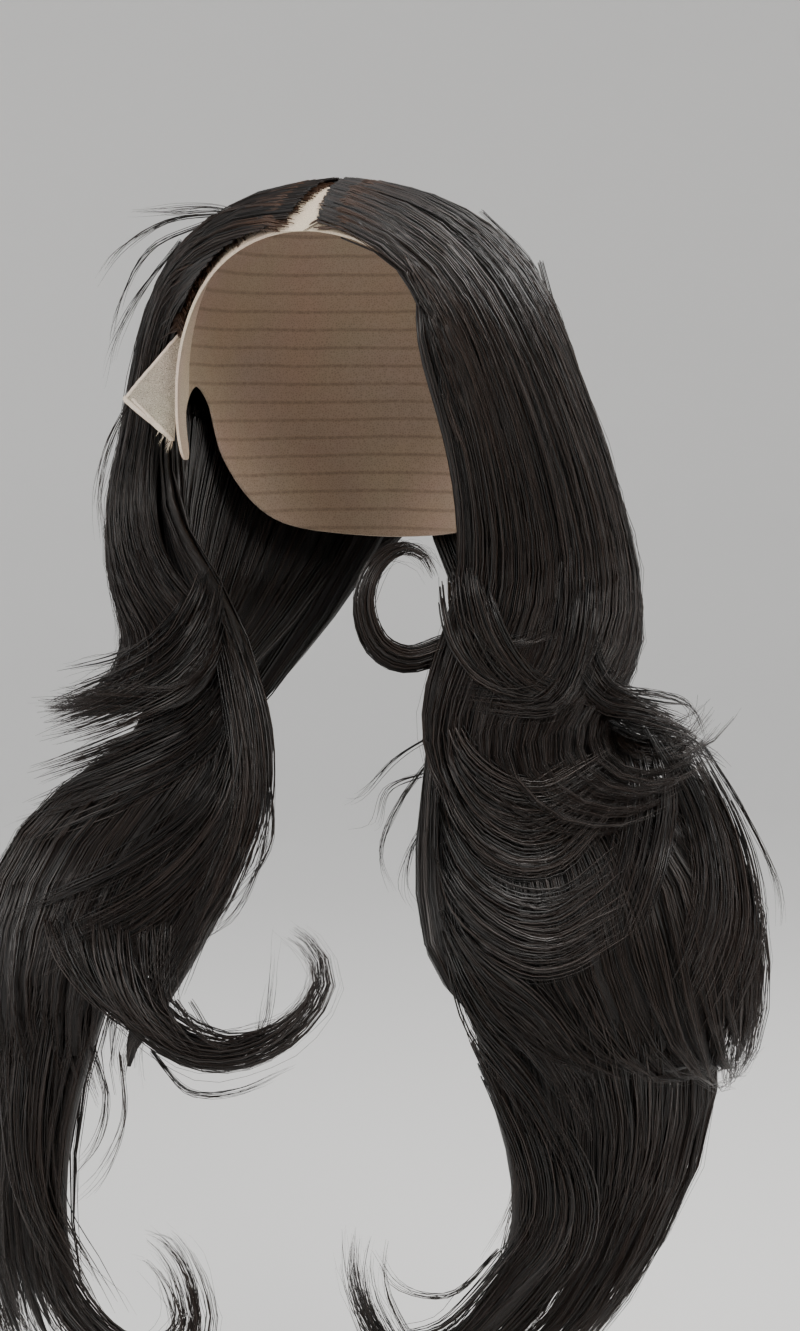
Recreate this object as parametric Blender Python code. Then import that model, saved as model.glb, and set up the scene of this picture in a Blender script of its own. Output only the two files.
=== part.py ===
"""Lace front wig: stretch cap, lace front, ear tabs and long layered hair in fused locks.

Sizes are in millimetres and become metres when a mesh is made. +Z is up, the face opening looks
along -Y and the wearer's left is +X. The origin is the inside of the cap at the crown of the head.
"""
import bpy
import bmesh
import numpy as np
from math import sin, cos, pi, radians

MM = 0.001

# Head that the cap fits, and the walls of cap and lace
HEAD_HALF_BREADTH = 74.0
HEAD_HALF_LENGTH = 92.0
HEAD_CROWN_HEIGHT = 95.0
CAP_WALL = 1.2
GAP = 0.4
DOME_SEGMENTS = 24
DOME_RINGS = 13

# Lace front
LACE_BAND_DEPTH = 26.0
PARTING_WIDTH = 13.0
PARTING_BACK = 42.0

# Hair
LOCK_SIDES = 6
LOCK_OVERLAP = 1.34
LOCK_MIN_WIDTH = 13.0
LOCK_MAX_WIDTH = 66.0
HAIRLINE_SHARE_RIGHT = 0.34
HAIRLINE_SHARE_LEFT = 0.12
PARTING_HALF_GAP = 3.2
PARTING_FRONT = -58.0
PARTING_END = 25.0

# Edge of the cap seen from the side: back is along Y, up is along Z
CAP_EDGE = [
    # back, up
    (-72, -22),
    (-59, -22),
    (-45, -48),
    (-40, -66),
    (-34, -92),
    (-34, -118),
    (-17, -120),
    (-12, -98),
    (2, -88),
    (16, -96),
    (24, -122),
    (42, -150),
    (72, -160),
    (110, -160),
]

# Hairline from the temple up to the parting
HAIRLINE = [
    # back, up
    (-43, -50),
    (-46, -42),
    (-51, -33),
    (-58, -23),
]

# Layers of hair. Each row gives three places along a level of the layer, at its front edge, its
# side and its back edge: azimuth from the front in degrees, radius from the head's axis, height.
TOP_RIGHT = [
    # front az, r, z    side az, r, z     back az, r, z
    ((74, 80, -66), (100, 92, -36), (184, 104, -60)),
    ((84, 84, -88), (104, 105, -79), (186, 110, -92)),
    ((87, 89, -112), (105, 111, -115), (186, 111, -125)),
    ((83, 92, -138), (101, 116, -150), (178, 108, -155)),
    ((72, 80, -172), (94, 110, -182), (156, 102, -185)),
    ((46, 61, -203), (78, 97, -211), (126, 94, -215)),
    ((38, 84, -228), (64, 115, -236), (98, 115, -240)),
    ((46, 124, -226), (68, 142, -236), (95, 146, -245)),
]
MIDDLE_RIGHT = [
    ((84, 84, -95), (120, 94, -98), (176, 103, -105)),
    ((80, 82, -140), (112, 94, -145), (168, 98, -150)),
    ((50, 55, -190), (90, 84, -200), (142, 88, -205)),
    ((28, 46, -245), (64, 82, -250), (105, 98, -250)),
    ((26, 62, -290), (62, 126, -290), (95, 148, -290)),
    ((30, 92, -342), (60, 148, -335), (88, 170, -335)),
    ((34, 114, -378), (56, 150, -380), (84, 171, -385)),
    ((37, 112, -398), (52, 138, -410), (78, 160, -420)),
]
LONG_RIGHT = [
    ((90, 84, -100), (126, 92, -105), (179, 96, -115)),
    ((80, 76, -160), (110, 90, -165), (170, 93, -165)),
    ((56, 68, -230), (92, 90, -230), (140, 92, -230)),
    ((48, 90, -300), (75, 122, -300), (110, 128, -300)),
    ((46, 122, -370), (66, 152, -370), (95, 163, -370)),
    ((46, 138, -430), (64, 162, -430), (90, 170, -430)),
    ((44, 136, -485), (62, 160, -490), (86, 166, -495)),
    ((42, 116, -530), (58, 142, -540), (80, 150, -550)),
]
TOP_LEFT = [
    ((34, 87, -50), (94, 88, -40), (184, 104, -60)),
    ((44, 85, -88), (106, 99, -80), (186, 110, -92)),
    ((51, 83, -115), (109, 111, -113), (186, 111, -125)),
    ((57, 80, -145), (109, 122, -150), (178, 109, -155)),
    ((57, 78, -178), (107, 128, -182), (160, 106, -185)),
    ((50, 74, -208), (98, 125, -212), (146, 104, -215)),
    ((50, 68, -240), (84, 110, -240), (122, 108, -238)),
    ((54, 82, -272), (80, 122, -262), (108, 130, -252)),
    ((66, 106, -290), (88, 148, -266), (106, 158, -240)),
    ((80, 126, -284), (98, 160, -252), (110, 165, -230)),
]
MIDDLE_LEFT = [
    ((70, 82, -98), (118, 95, -100), (177, 103, -105)),
    ((66, 74, -150), (108, 99, -155), (170, 98, -150)),
    ((60, 64, -210), (92, 95, -215), (144, 94, -210)),
    ((53, 62, -262), (84, 114, -265), (118, 118, -255)),
    ((42, 82, -305), (80, 144, -305), (106, 170, -300)),
    ((42, 100, -340), (78, 158, -345), (104, 186, -345)),
    ((58, 126, -372), (84, 166, -385), (102, 182, -385)),
    ((80, 148, -372), (98, 176, -392), (108, 174, -405)),
]
LONG_LEFT = [
    ((84, 84, -105), (122, 93, -108), (179, 96, -115)),
    ((78, 76, -165), (112, 92, -165), (171, 93, -165)),
    ((64, 76, -235), (96, 96, -235), (142, 92, -230)),
    ((52, 92, -310), (84, 128, -305), (115, 133, -300)),
    ((52, 106, -375), (82, 142, -375), (106, 162, -370)),
    ((60, 110, -430), (86, 140, -430), (106, 160, -425)),
    ((60, 106, -470), (84, 128, -470), (104, 144, -465)),
    ((46, 96, -505), (70, 110, -508), (94, 116, -505)),
    ((26, 90, -522), (48, 94, -532), (73, 90, -535)),
]

# Thickness of a lock from root to tip, in millimetres, and its width from root to tip as a part of
# the room between its neighbours
TOP_THICKNESS = [3.2, 5, 7, 9, 10, 11, 12, 12, 10, 5]
LOWER_THICKNESS = [3, 7, 11, 13, 14, 15, 16, 15, 12, 5]
LOCK_WIDTHS = [0.6, 1, 1, 1, 1, 1, 1, 1, 0.8, 0.16]

# The layers: side of the head (+1 is the wearer's left), table, locks, sections, whether it starts
# at the hairline and parting, thickness
LAYERS = [
    # name, side, rows, locks, sections, from parting, thickness
    ("top_right", -1, TOP_RIGHT, 7, 12, True, TOP_THICKNESS),
    ("middle_right", -1, MIDDLE_RIGHT, 5, 9, False, LOWER_THICKNESS),
    ("long_right", -1, LONG_RIGHT, 5, 9, False, LOWER_THICKNESS),
    ("top_left", 1, TOP_LEFT, 7, 12, True, TOP_THICKNESS),
    ("middle_left", 1, MIDDLE_LEFT, 5, 10, False, LOWER_THICKNESS),
    ("long_left", 1, LONG_LEFT, 5, 10, False, LOWER_THICKNESS),
]

# Single curls: places along the middle of the lock, with its width and thickness there
CHEEK_CURL = [
    # across, back, up, width, thickness
    (72, -32, -190, 9, 6),
    (61, -46, -201, 11, 6),
    (47, -58, -206, 11, 6),
    (37, -67, -199, 10, 6),
    (32, -70, -182, 9, 5),
    (37, -70, -166, 8, 5),
    (47, -66, -158, 6, 4),
    (56, -62, -161, 4, 3),
    (60, -59, -171, 2, 2),
]
CHEST_CURL = [
    # across, back, up, width, thickness
    (-74, -24, -282, 30, 10),
    (-87, -54, -298, 32, 12),
    (-84, -84, -324, 30, 13),
    (-69, -96, -350, 27, 13),
    (-47, -99, -368, 24, 12),
    (-24, -100, -374, 21, 11),
    (-4, -99, -369, 17, 10),
    (12, -97, -357, 13, 8),
    (20, -94, -342, 10, 7),
    (16, -94, -329, 6, 5),
    (6, -95, -321, 2.5, 3),
]
END_CURL_RIGHT = [
    (-118, -66, -436, 18, 9),
    (-113, -90, -466, 20, 10),
    (-97, -99, -494, 20, 11),
    (-75, -97, -514, 18, 10),
    (-54, -94, -516, 16, 9),
    (-41, -92, -502, 13, 8),
    (-43, -94, -481, 9, 6),
    (-50, -96, -467, 5, 4),
    (-58, -99, -459, 2, 3),
]
END_CURL_LEFT = [
    (116, -12, -434, 24, 10),
    (111, -42, -456, 26, 11),
    (92, -62, -485, 23, 11),
    (71, -70, -505, 19, 10),
    (50, -76, -508, 15, 9),
    (38, -80, -490, 11, 8),
    (34, -82, -470, 7, 5),
    (36, -81, -453, 2.5, 3),
]

# Ear tab: corners of the folded lace triangle at the right temple
EAR_TAB_TOP = (-70.0, -24.0, -63.0)
EAR_TAB_TIP = (-95.5, -31.0, -94.0)
EAR_TAB_FOOT = (-74.0, -25.0, -113.0)
EAR_TAB_WALL = 1.0
EAR_TAB_BINDING = 1.5
EAR_TAB_SMALL = 0.62

SEMI = np.array([HEAD_HALF_BREADTH, HEAD_HALF_LENGTH, HEAD_CROWN_HEIGHT])
CENTRE = np.array([0, 0, -HEAD_CROWN_HEIGHT])


# Start from an empty scene
for old in list(bpy.data.objects):
    bpy.data.objects.remove(old, do_unlink=True)
parts = bpy.data.collections.new("lace_front_wig")
cutters = bpy.data.collections.new("cutters")
bpy.context.scene.collection.children.link(parts)
bpy.context.scene.collection.children.link(cutters)


def material(name, colour, roughness, alpha=1.0):
    m = bpy.data.materials.new(name)
    m.use_nodes = True
    shader = m.node_tree.nodes["Principled BSDF"]
    shader.inputs["Base Color"].default_value = (*colour, 1)
    shader.inputs["Roughness"].default_value = roughness
    return m


HAIR = material("hair_fibre", (0.022, 0.014, 0.010), 0.38)
NET = material("cap_net", (0.34, 0.25, 0.18), 0.85)
LACE = material("lace", (0.62, 0.48, 0.36), 0.75)


def new_object(name, mesh, where, mat=None):
    ob = bpy.data.objects.new(name, mesh)
    where.objects.link(ob)
    if mat:
        mesh.materials.clear()
        mesh.materials.append(mat)
    if where == cutters:
        ob.hide_render = True
        ob.display_type = "WIRE"
    return ob


def mesh_from(bm, name):
    bmesh.ops.recalc_face_normals(bm, faces=bm.faces[:])
    mesh = bpy.data.meshes.new(name)
    bm.to_mesh(mesh)
    bm.free()
    return mesh


# Boolean work: the modifier is added, evaluated and kept as a plain mesh
def cut(ob, tool, operation="DIFFERENCE"):
    mod = ob.modifiers.new("cut", "BOOLEAN")
    mod.operation = operation
    mod.solver = "EXACT"
    mod.use_self = True
    mod.object = tool
    graph = bpy.context.evaluated_depsgraph_get()
    mesh = bpy.data.meshes.new_from_object(ob.evaluated_get(graph))
    ob.modifiers.remove(mod)
    old = ob.data
    mesh.name = ob.name
    ob.data = mesh
    bpy.data.meshes.remove(old)


def plain_triangles(ob):
    bm = bmesh.new()
    bm.from_mesh(ob.data)
    bmesh.ops.triangulate(bm, faces=bm.faces[:])
    bm.to_mesh(ob.data)
    bm.free()


def joined(name, obs):
    """One cutter made of the meshes of several"""
    bm = bmesh.new()
    for ob in obs:
        bm.from_mesh(ob.data)
    mesh = bpy.data.meshes.new(name)
    bm.to_mesh(mesh)
    bm.free()
    return new_object(name, mesh, cutters)


def shell_volume(faces):
    total = 0.0
    for f in faces:
        v = [x.co for x in f.verts]
        for i in range(1, len(v) - 1):
            total += v[0].dot(v[i].cross(v[i + 1])) / 6
    return total


# Keeps the one largest outer skin, so nothing is hollow inside and no scrap is left beside it
def keep_main_body(ob):
    bm = bmesh.new()
    bm.from_mesh(ob.data)
    bmesh.ops.triangulate(bm, faces=bm.faces[:])
    bmesh.ops.remove_doubles(bm, verts=bm.verts[:], dist=0.00005)
    bmesh.ops.dissolve_degenerate(bm, edges=bm.edges[:], dist=0.00005)
    bm.faces.ensure_lookup_table()
    seen = set()
    shells = []
    for face in bm.faces:
        if face in seen:
            continue
        group, todo = [], [face]
        seen.add(face)
        while todo:
            f = todo.pop()
            group.append(f)
            for e in f.edges:
                for g in e.link_faces if len(e.link_faces) == 2 else ():
                    if g not in seen:
                        seen.add(g)
                        todo.append(g)
        shells.append((shell_volume(group), group))
    shells.sort(key=lambda s: -s[0])
    extra = [f for _, group in shells[1:] for f in group]
    if extra:
        bmesh.ops.delete(bm, geom=extra, context="FACES")
    loose = [v for v in bm.verts if not v.link_faces]
    if loose:
        bmesh.ops.delete(bm, geom=loose, context="VERTS")
    bm.to_mesh(ob.data)
    bm.free()


# Head form and its offsets
def ellipsoid(name, grow, where, mat=None):
    bm = bmesh.new()
    bmesh.ops.create_uvsphere(bm, u_segments=DOME_SEGMENTS, v_segments=DOME_RINGS, radius=1.0)
    for v in bm.verts:
        p = np.array(v.co) * (SEMI + grow) + CENTRE
        v.co = p * MM
    return new_object(name, mesh_from(bm, name), where, mat)


def prism(name, outline, half_width):
    """A block across the head whose side view is the outline (back, up)"""
    bm = bmesh.new()
    ring = [bm.verts.new((-half_width * MM, y * MM, z * MM)) for y, z in outline]
    face = bm.faces.new(ring)
    moved = bmesh.ops.extrude_face_region(bm, geom=[face])
    for v in moved["geom"]:
        if isinstance(v, bmesh.types.BMVert):
            v.co.x = half_width * MM
    bmesh.ops.triangulate(bm, faces=bm.faces[:])
    return new_object(name, mesh_from(bm, name), cutters)


def box(name, low, high):
    bm = bmesh.new()
    bmesh.ops.create_cube(bm, size=1.0)
    low, high = np.array(low, float), np.array(high, float)
    for v in bm.verts:
        v.co = ((low + high) / 2 + np.array(v.co) * (high - low)) * MM
    return new_object(name, mesh_from(bm, name), cutters)


def moved_edge(edge, by):
    """The front part of the cap's edge, moved back by a distance square to itself"""
    out = []
    for i, (y, z) in enumerate(edge):
        a = np.array(edge[max(i - 1, 0)], float)
        b = np.array(edge[min(i + 1, len(edge) - 1)], float)
        t = (b - a) / np.linalg.norm(b - a)
        out.append((y - t[1] * by, z + t[0] * by))
    return out


# Layers: a place across a row, and the smooth fall of a lock through all rows
def across(row, u):
    front, side, back = (np.array(c, float) for c in row)
    return (front * (1 - u) * (1 - 2 * u) + side * 4 * u * (1 - u) + back * u * (2 * u - 1))


def place(azimuth, radius, up, side):
    a = radians(azimuth)
    return np.array([side * radius * sin(a), -radius * cos(a), up])


def smooth_path(points, count):
    """Points at even steps on a smooth curve through the given ones"""
    p = np.asarray(points, float)
    p = np.vstack([2 * p[0] - p[1], p, 2 * p[-1] - p[-2]])
    out = []
    for i in range(1, len(p) - 2):
        p0, p1, p2, p3 = p[i - 1], p[i], p[i + 1], p[i + 2]
        t = np.linspace(0, 1, 16, endpoint=False)[:, None]
        k01 = max(np.linalg.norm((p1 - p0)[:3]), 1e-6) ** 0.5
        k12 = max(np.linalg.norm((p2 - p1)[:3]), 1e-6) ** 0.5
        k23 = max(np.linalg.norm((p3 - p2)[:3]), 1e-6) ** 0.5
        m1 = p2 - p1 + k12 * ((p1 - p0) / k01 - (p2 - p0) / (k01 + k12))
        m2 = p2 - p1 + k12 * ((p3 - p2) / k23 - (p3 - p1) / (k12 + k23))
        a = 2 * (p1 - p2) + m1 + m2
        b = -3 * (p1 - p2) - 2 * m1 - m2
        out.append(a * t ** 3 + b * t ** 2 + m1 * t + p1)
    out.append(p[-2][None])
    q = np.vstack(out)
    steps = np.linalg.norm(np.diff(q[:, :3], axis=0), axis=1)
    s = np.concatenate([[0], np.cumsum(steps)])
    at = np.linspace(0, s[-1], count)
    return np.stack([np.interp(at, s, q[:, k]) for k in range(q.shape[1])], axis=1)


def over_head(direction, lift):
    d = direction / np.linalg.norm(direction)
    return d * (SEMI + CAP_WALL + lift) + CENTRE


def from_parting(u, side, first):
    """The stretch from the parting over the head to the first row of the layer"""
    along = min(u / 0.6, 1)
    share = HAIRLINE_SHARE_LEFT if side > 0 else HAIRLINE_SHARE_RIGHT
    if along < share:
        f = along / share * (len(HAIRLINE) - 1)
        back = np.interp(f, range(len(HAIRLINE)), [row[0] for row in HAIRLINE])
        up = np.interp(f, range(len(HAIRLINE)), [row[1] for row in HAIRLINE])
        start = np.array([0, back, up + HEAD_CROWN_HEIGHT]) / SEMI
        start[0] = side * np.sqrt(max(1 - start @ start, 0.001))
    else:
        f = (along - share) / (1 - share)
        back = PARTING_FRONT + (PARTING_END - PARTING_FRONT) * f
        start = np.array([side * PARTING_HALF_GAP, back, 0]) / SEMI
        start[2] = np.sqrt(1 - start[0] ** 2 - start[1] ** 2)
    end = (first - CENTRE) / SEMI
    reach = np.linalg.norm(end)
    end = end / reach
    angle = np.arccos(np.clip(start @ end, -1, 1))
    bow = 0.12 * max(0, 1 - u / 0.5)
    out = []
    for t in (0, 0.2, 0.4, 0.6, 0.8):
        d = (sin((1 - t) * angle) * start + sin(t * angle) * end) / sin(angle)
        d = d + np.array([side * 0.5, 0, 0.6]) * bow * 4 * t * (1 - t)
        d = d / np.linalg.norm(d)
        near = over_head(d, 3.0 * (1 - t) ** 2 + 9.0 * 2 * t * (1 - t))
        far = d * SEMI * reach + CENTRE
        out.append(near * (1 - t ** 2) + far * t ** 2)
    return out


def fall(rows, u, side, count, parting):
    points = [place(*across(row, u), side) for row in rows]
    if parting:
        points = from_parting(u, side, points[0]) + points
    return smooth_path(points, count)


def unit(v):
    return v / max(np.linalg.norm(v), 1e-9)


# A lock is a lens-shaped section lofted along its path
def loft(bm, path, sideways, widths, thicknesses):
    rings = []
    n = len(path)
    for i in range(n):
        t = unit(path[min(i + 1, n - 1)] - path[max(i - 1, 0)])
        s = unit(sideways[i] - t * (sideways[i] @ t))
        out = np.cross(t, s)
        ring = []
        for k in range(LOCK_SIDES):
            a = 2 * pi * k / LOCK_SIDES
            p = path[i] + s * cos(a) * widths[i] / 2 + out * sin(a) * thicknesses[i] / 2 / 0.866
            ring.append(bm.verts.new(p * MM))
        rings.append(ring)
    for a, b in zip(rings, rings[1:]):
        for k in range(LOCK_SIDES):
            j = (k + 1) % LOCK_SIDES
            bm.faces.new((a[k], a[j], b[j], b[k]))
    bm.faces.new(rings[0][::-1])
    bm.faces.new(rings[-1])


def table_at(table, v):
    return np.interp(v * (len(table) - 1), range(len(table)), table)


def layer_locks(bm, side, rows, locks, sections, parting, thickness):
    for k in range(locks):
        u = (k + 0.5) / locks
        h = 0.5 / locks
        mid = fall(rows, u, side, sections, parting)
        a = fall(rows, max(u - h, 0), side, sections, parting)
        b = fall(rows, min(u + h, 1), side, sections, parting)
        v = np.linspace(0, 1, sections)
        sideways, widths, last = [], [], None
        for i in range(sections):
            t = unit(mid[min(i + 1, sections - 1)] - mid[max(i - 1, 0)])
            s = b[i] - a[i]
            s = s - t * (s @ t)
            room = np.linalg.norm(s)
            s = unit(s)
            if last is not None:
                kept = unit(last - t * (last @ t))
                if s @ kept < 0:
                    s = -s
                trust = min(room / 12, 1)
                s = unit(kept * (1 - trust) + s * trust)
            last = s
            sideways.append(s)
            widths.append(np.clip(room * LOCK_OVERLAP, LOCK_MIN_WIDTH, LOCK_MAX_WIDTH))
        widths = np.array(widths) * [table_at(LOCK_WIDTHS, x) for x in v]
        loft(bm, mid, sideways, widths, [table_at(thickness, x) for x in v])


def curl_lock(name, table, where, grow=0.0, sections=13, mat=None):
    """A single curl; its flat side faces along the axis that it curls round"""
    path = smooth_path(table, sections)
    points = path[:, :3]
    bm = bmesh.new()
    normal = np.zeros(3)
    for i in range(1, sections - 1):
        normal += np.cross(points[i] - points[i - 1], points[i + 1] - points[i])
    normal = unit(normal)
    tangents = [unit(points[min(i + 1, sections - 1)] - points[max(i - 1, 0)])
                for i in range(sections)]
    sideways = [None] * sections
    start = sections // 2 + 2
    sideways[start] = np.cross(tangents[start], normal)
    for i in list(range(start + 1, sections)) + list(range(start - 1, -1, -1)):
        s = sideways[i - 1] if i > start else sideways[i + 1]
        sideways[i] = unit(s - tangents[i] * (s @ tangents[i]))
    if grow:
        points = points.copy()
        points[0] -= unit(points[1] - points[0]) * grow
        points[-1] += unit(points[-1] - points[-2]) * grow
    loft(bm, points, sideways, path[:, 3] + 2.6 * grow, path[:, 4] + 2.6 * grow)
    return new_object(name, mesh_from(bm, name), where, mat)


# Cap and lace share one dome: the wall is the outer form less the head form
head_form = ellipsoid("head_form", 0, cutters)
clear_form = ellipsoid("clear_form", CAP_WALL + GAP, cutters)
below = [(110, -400), (-300, -400), (-300, -22)]
face_opening = prism("face_opening", CAP_EDGE + below, 130)
front_edge = CAP_EDGE[1:6]
band_back = moved_edge(front_edge, LACE_BAND_DEPTH)
band_far = moved_edge(front_edge, LACE_BAND_DEPTH + GAP)
front_room = [(-34, -240), (-200, -240), (-200, 60)]
lace_band = prism("lace_band", [(band_back[0][0], 60)] + band_back + front_room, 130)
lace_room = prism("lace_room", [(band_far[0][0], 60)] + band_far + front_room, 131)
half = PARTING_WIDTH / 2
parting_band = box("parting_band", (-half, -90, -60), (half, PARTING_BACK, 20))
parting_room = box("parting_room", (-half - GAP, -91, -61), (half + GAP, PARTING_BACK + GAP, 21))

wig_cap = ellipsoid("wig_cap", CAP_WALL, parts, NET)
cut(wig_cap, head_form)
cut(wig_cap, face_opening)
lace_front = new_object("lace_front", wig_cap.data.copy(), parts, LACE)
cut(lace_band, parting_band, "UNION")
cut(lace_room, parting_room, "UNION")
cut(lace_front, lace_band, "INTERSECT")
cut(wig_cap, lace_room)


# Ear tabs: a thin triangle of folded lace with a bound edge, bowed like a leaf
def ear_tab(name, mirror, size, where, grow=0.0, mat=None):
    top, tip, foot = (np.array(p) for p in (EAR_TAB_TOP, EAR_TAB_TIP, EAR_TAB_FOOT))
    root = (top + foot) / 2
    top, tip, foot = (root + (p - root) * size for p in (top, tip, foot))
    flat = unit(np.cross(tip - top, foot - top))
    steps = 6
    bm = bmesh.new()
    half_wall = EAR_TAB_WALL / 2 + grow
    binding = EAR_TAB_BINDING / 2 + grow
    rings = []
    for i in range(steps + 1):
        f = i / steps
        edge = top + (foot - top) * f
        lobe = min(f / 0.62, 1) if f < 0.62 else (1 - f) / 0.38
        end = edge + (tip - (top + (foot - top) * 0.62)) * max(lobe, 0.05)
        inward = unit(edge - end)
        edge = edge + inward * grow
        end = end - inward * grow
        bend = flat * 2.5 * sin(pi * f)
        ring = []
        for place_on, thick in ((0, half_wall), (0.86, half_wall), (0.9, binding), (1, binding)):
            ring.append(edge + (end - edge) * place_on + bend * place_on + flat * thick)
        for place_on, thick in ((1, binding), (0.9, binding), (0.86, half_wall), (0, half_wall)):
            ring.append(edge + (end - edge) * place_on + bend * place_on - flat * thick)
        if grow:
            lift = unit(top - foot) * grow * (1 if i == 0 else -1 if i == steps else 0)
            ring = [p + lift for p in ring]
        rings.append([bm.verts.new(np.array([p[0] * mirror, p[1], p[2]]) * MM) for p in ring])
    n = len(rings[0])
    for a, b in zip(rings, rings[1:]):
        for k in range(n):
            bm.faces.new((a[k], a[(k + 1) % n], b[(k + 1) % n], b[k]))
    bm.faces.new(rings[0][::-1])
    bm.faces.new(rings[-1])
    return new_object(name, mesh_from(bm, name), where, mat)


tab_right = ear_tab("ear_tab_right", 1, 1.0, parts, mat=LACE)
tab_left = ear_tab("ear_tab_left", -1, EAR_TAB_SMALL, parts, mat=LACE)
tab_right_room = ear_tab("ear_tab_right_room", 1, 1.0, cutters, grow=GAP)
tab_left_room = ear_tab("ear_tab_left_room", -1, EAR_TAB_SMALL, cutters, grow=GAP)
for tab in (tab_right, tab_left):
    cut(tab, clear_form)

# Hair: all locks joined in one mesh, fused as they are cut free of cap, tabs and single curls
bm = bmesh.new()
for _, side, rows, locks, sections, parting, thickness in LAYERS:
    layer_locks(bm, side, rows, locks, sections, parting, thickness)
hair = new_object("hair", mesh_from(bm, "hair"), cutters, HAIR)
CURLS = [
    ("cheek_curl", CHEEK_CURL),
    ("chest_curl", CHEST_CURL),
    ("end_curl_right", END_CURL_RIGHT),
    ("end_curl_left", END_CURL_LEFT),
]
rooms = [clear_form, tab_right_room, tab_left_room]
for name, table in CURLS:
    curl_lock(name, table, parts, mat=HAIR)
    rooms.append(curl_lock(name + "_room", table, cutters, grow=GAP))
cut(hair, joined("rooms", rooms))
plain_triangles(hair)

# The hair parts at the centre line into its two sides
far = 400
left_block = box("left_block", (GAP / 2, -far, -700), (far, far, 100))
right_block = box("right_block", (-far, -far, -700), (-GAP / 2, far, 100))
for name, tool in (("hair_left", left_block), ("hair_right", right_block)):
    piece = new_object(name, hair.data.copy(), parts, HAIR)
    cut(piece, tool, "INTERSECT")

for ob in list(parts.objects):
    keep_main_body(ob)
bpy.data.objects.remove(hair, do_unlink=True)
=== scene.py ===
"""Lace front wig, dressed for its picture: fine strands over fused locks, net cap and lace.

Sizes are in millimetres and become metres when a mesh is made. +Z is up, the face opening looks
along -Y and the wearer's left is +X. The origin is the inside of the cap at the crown of the head.
"""

from math import cos, pi, radians, sin

import bmesh
import bpy
import numpy as np
from mathutils import Matrix, Vector
from mathutils.bvhtree import BVHTree


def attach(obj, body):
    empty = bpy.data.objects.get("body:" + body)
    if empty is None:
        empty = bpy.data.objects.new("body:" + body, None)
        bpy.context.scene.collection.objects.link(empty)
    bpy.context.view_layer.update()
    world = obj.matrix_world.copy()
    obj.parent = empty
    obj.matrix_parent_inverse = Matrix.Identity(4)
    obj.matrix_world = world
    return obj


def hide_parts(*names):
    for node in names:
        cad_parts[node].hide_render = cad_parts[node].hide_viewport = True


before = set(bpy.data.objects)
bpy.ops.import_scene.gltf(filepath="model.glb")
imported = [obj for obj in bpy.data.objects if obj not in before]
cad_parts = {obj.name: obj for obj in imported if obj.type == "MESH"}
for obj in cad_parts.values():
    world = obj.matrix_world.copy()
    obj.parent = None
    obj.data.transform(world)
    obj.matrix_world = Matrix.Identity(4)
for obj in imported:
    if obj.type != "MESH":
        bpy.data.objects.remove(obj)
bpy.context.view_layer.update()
MM = 0.001

# Head form, cap and lace, as in the solids
HEAD_HALF_BREADTH = 74.0
HEAD_HALF_LENGTH = 92.0
HEAD_CROWN_HEIGHT = 95.0
CAP_WALL = 1.2
GAP = 0.4
LACE_BAND_DEPTH = 26.0
PARTING_WIDTH = 13.0
PARTING_BACK = 42.0
SEMI = np.array([HEAD_HALF_BREADTH, HEAD_HALF_LENGTH, HEAD_CROWN_HEIGHT])
CENTRE = np.array([0, 0, -HEAD_CROWN_HEIGHT])

# Hair roots
HAIRLINE_SHARE_RIGHT = 0.34
HAIRLINE_SHARE_LEFT = 0.12
ROOT_SHARE = 0.6
PARTING_HALF_GAP = 3.2
PARTING_FRONT = -58.0
PARTING_END = 25.0

CAP_EDGE = [
    # back, up
    (-72, -22),
    (-59, -22),
    (-45, -48),
    (-40, -66),
    (-34, -92),
    (-34, -118),
    (-17, -120),
    (-12, -98),
    (2, -88),
    (16, -96),
    (24, -122),
    (42, -150),
    (72, -160),
    (110, -160),
]
HAIRLINE = [
    # back, up
    (-43, -50),
    (-46, -42),
    (-51, -33),
    (-58, -23),
]

# Layers of hair: azimuth from the front in degrees, radius from the head's axis, height
TOP_RIGHT = [
    # front az, r, z    side az, r, z     back az, r, z
    ((74, 80, -66), (100, 92, -36), (184, 104, -60)),
    ((84, 84, -88), (104, 105, -79), (186, 110, -92)),
    ((87, 89, -112), (105, 111, -115), (186, 111, -125)),
    ((83, 92, -138), (101, 116, -150), (178, 108, -155)),
    ((72, 80, -172), (94, 110, -182), (156, 102, -185)),
    ((46, 61, -203), (78, 97, -211), (126, 94, -215)),
    ((38, 84, -228), (64, 115, -236), (98, 115, -240)),
    ((46, 124, -226), (68, 142, -236), (95, 146, -245)),
]
MIDDLE_RIGHT = [
    ((84, 84, -95), (120, 94, -98), (176, 103, -105)),
    ((80, 82, -140), (112, 94, -145), (168, 98, -150)),
    ((50, 55, -190), (90, 84, -200), (142, 88, -205)),
    ((28, 46, -245), (64, 82, -250), (105, 98, -250)),
    ((26, 62, -290), (62, 126, -290), (95, 148, -290)),
    ((30, 92, -342), (60, 148, -335), (88, 170, -335)),
    ((34, 114, -378), (56, 150, -380), (84, 171, -385)),
    ((37, 112, -398), (52, 138, -410), (78, 160, -420)),
]
LONG_RIGHT = [
    ((90, 84, -100), (126, 92, -105), (179, 96, -115)),
    ((80, 76, -160), (110, 90, -165), (170, 93, -165)),
    ((56, 68, -230), (92, 90, -230), (140, 92, -230)),
    ((48, 90, -300), (75, 122, -300), (110, 128, -300)),
    ((46, 122, -370), (66, 152, -370), (95, 163, -370)),
    ((46, 138, -430), (64, 162, -430), (90, 170, -430)),
    ((44, 136, -485), (62, 160, -490), (86, 166, -495)),
    ((42, 116, -530), (58, 142, -540), (80, 150, -550)),
]
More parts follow.
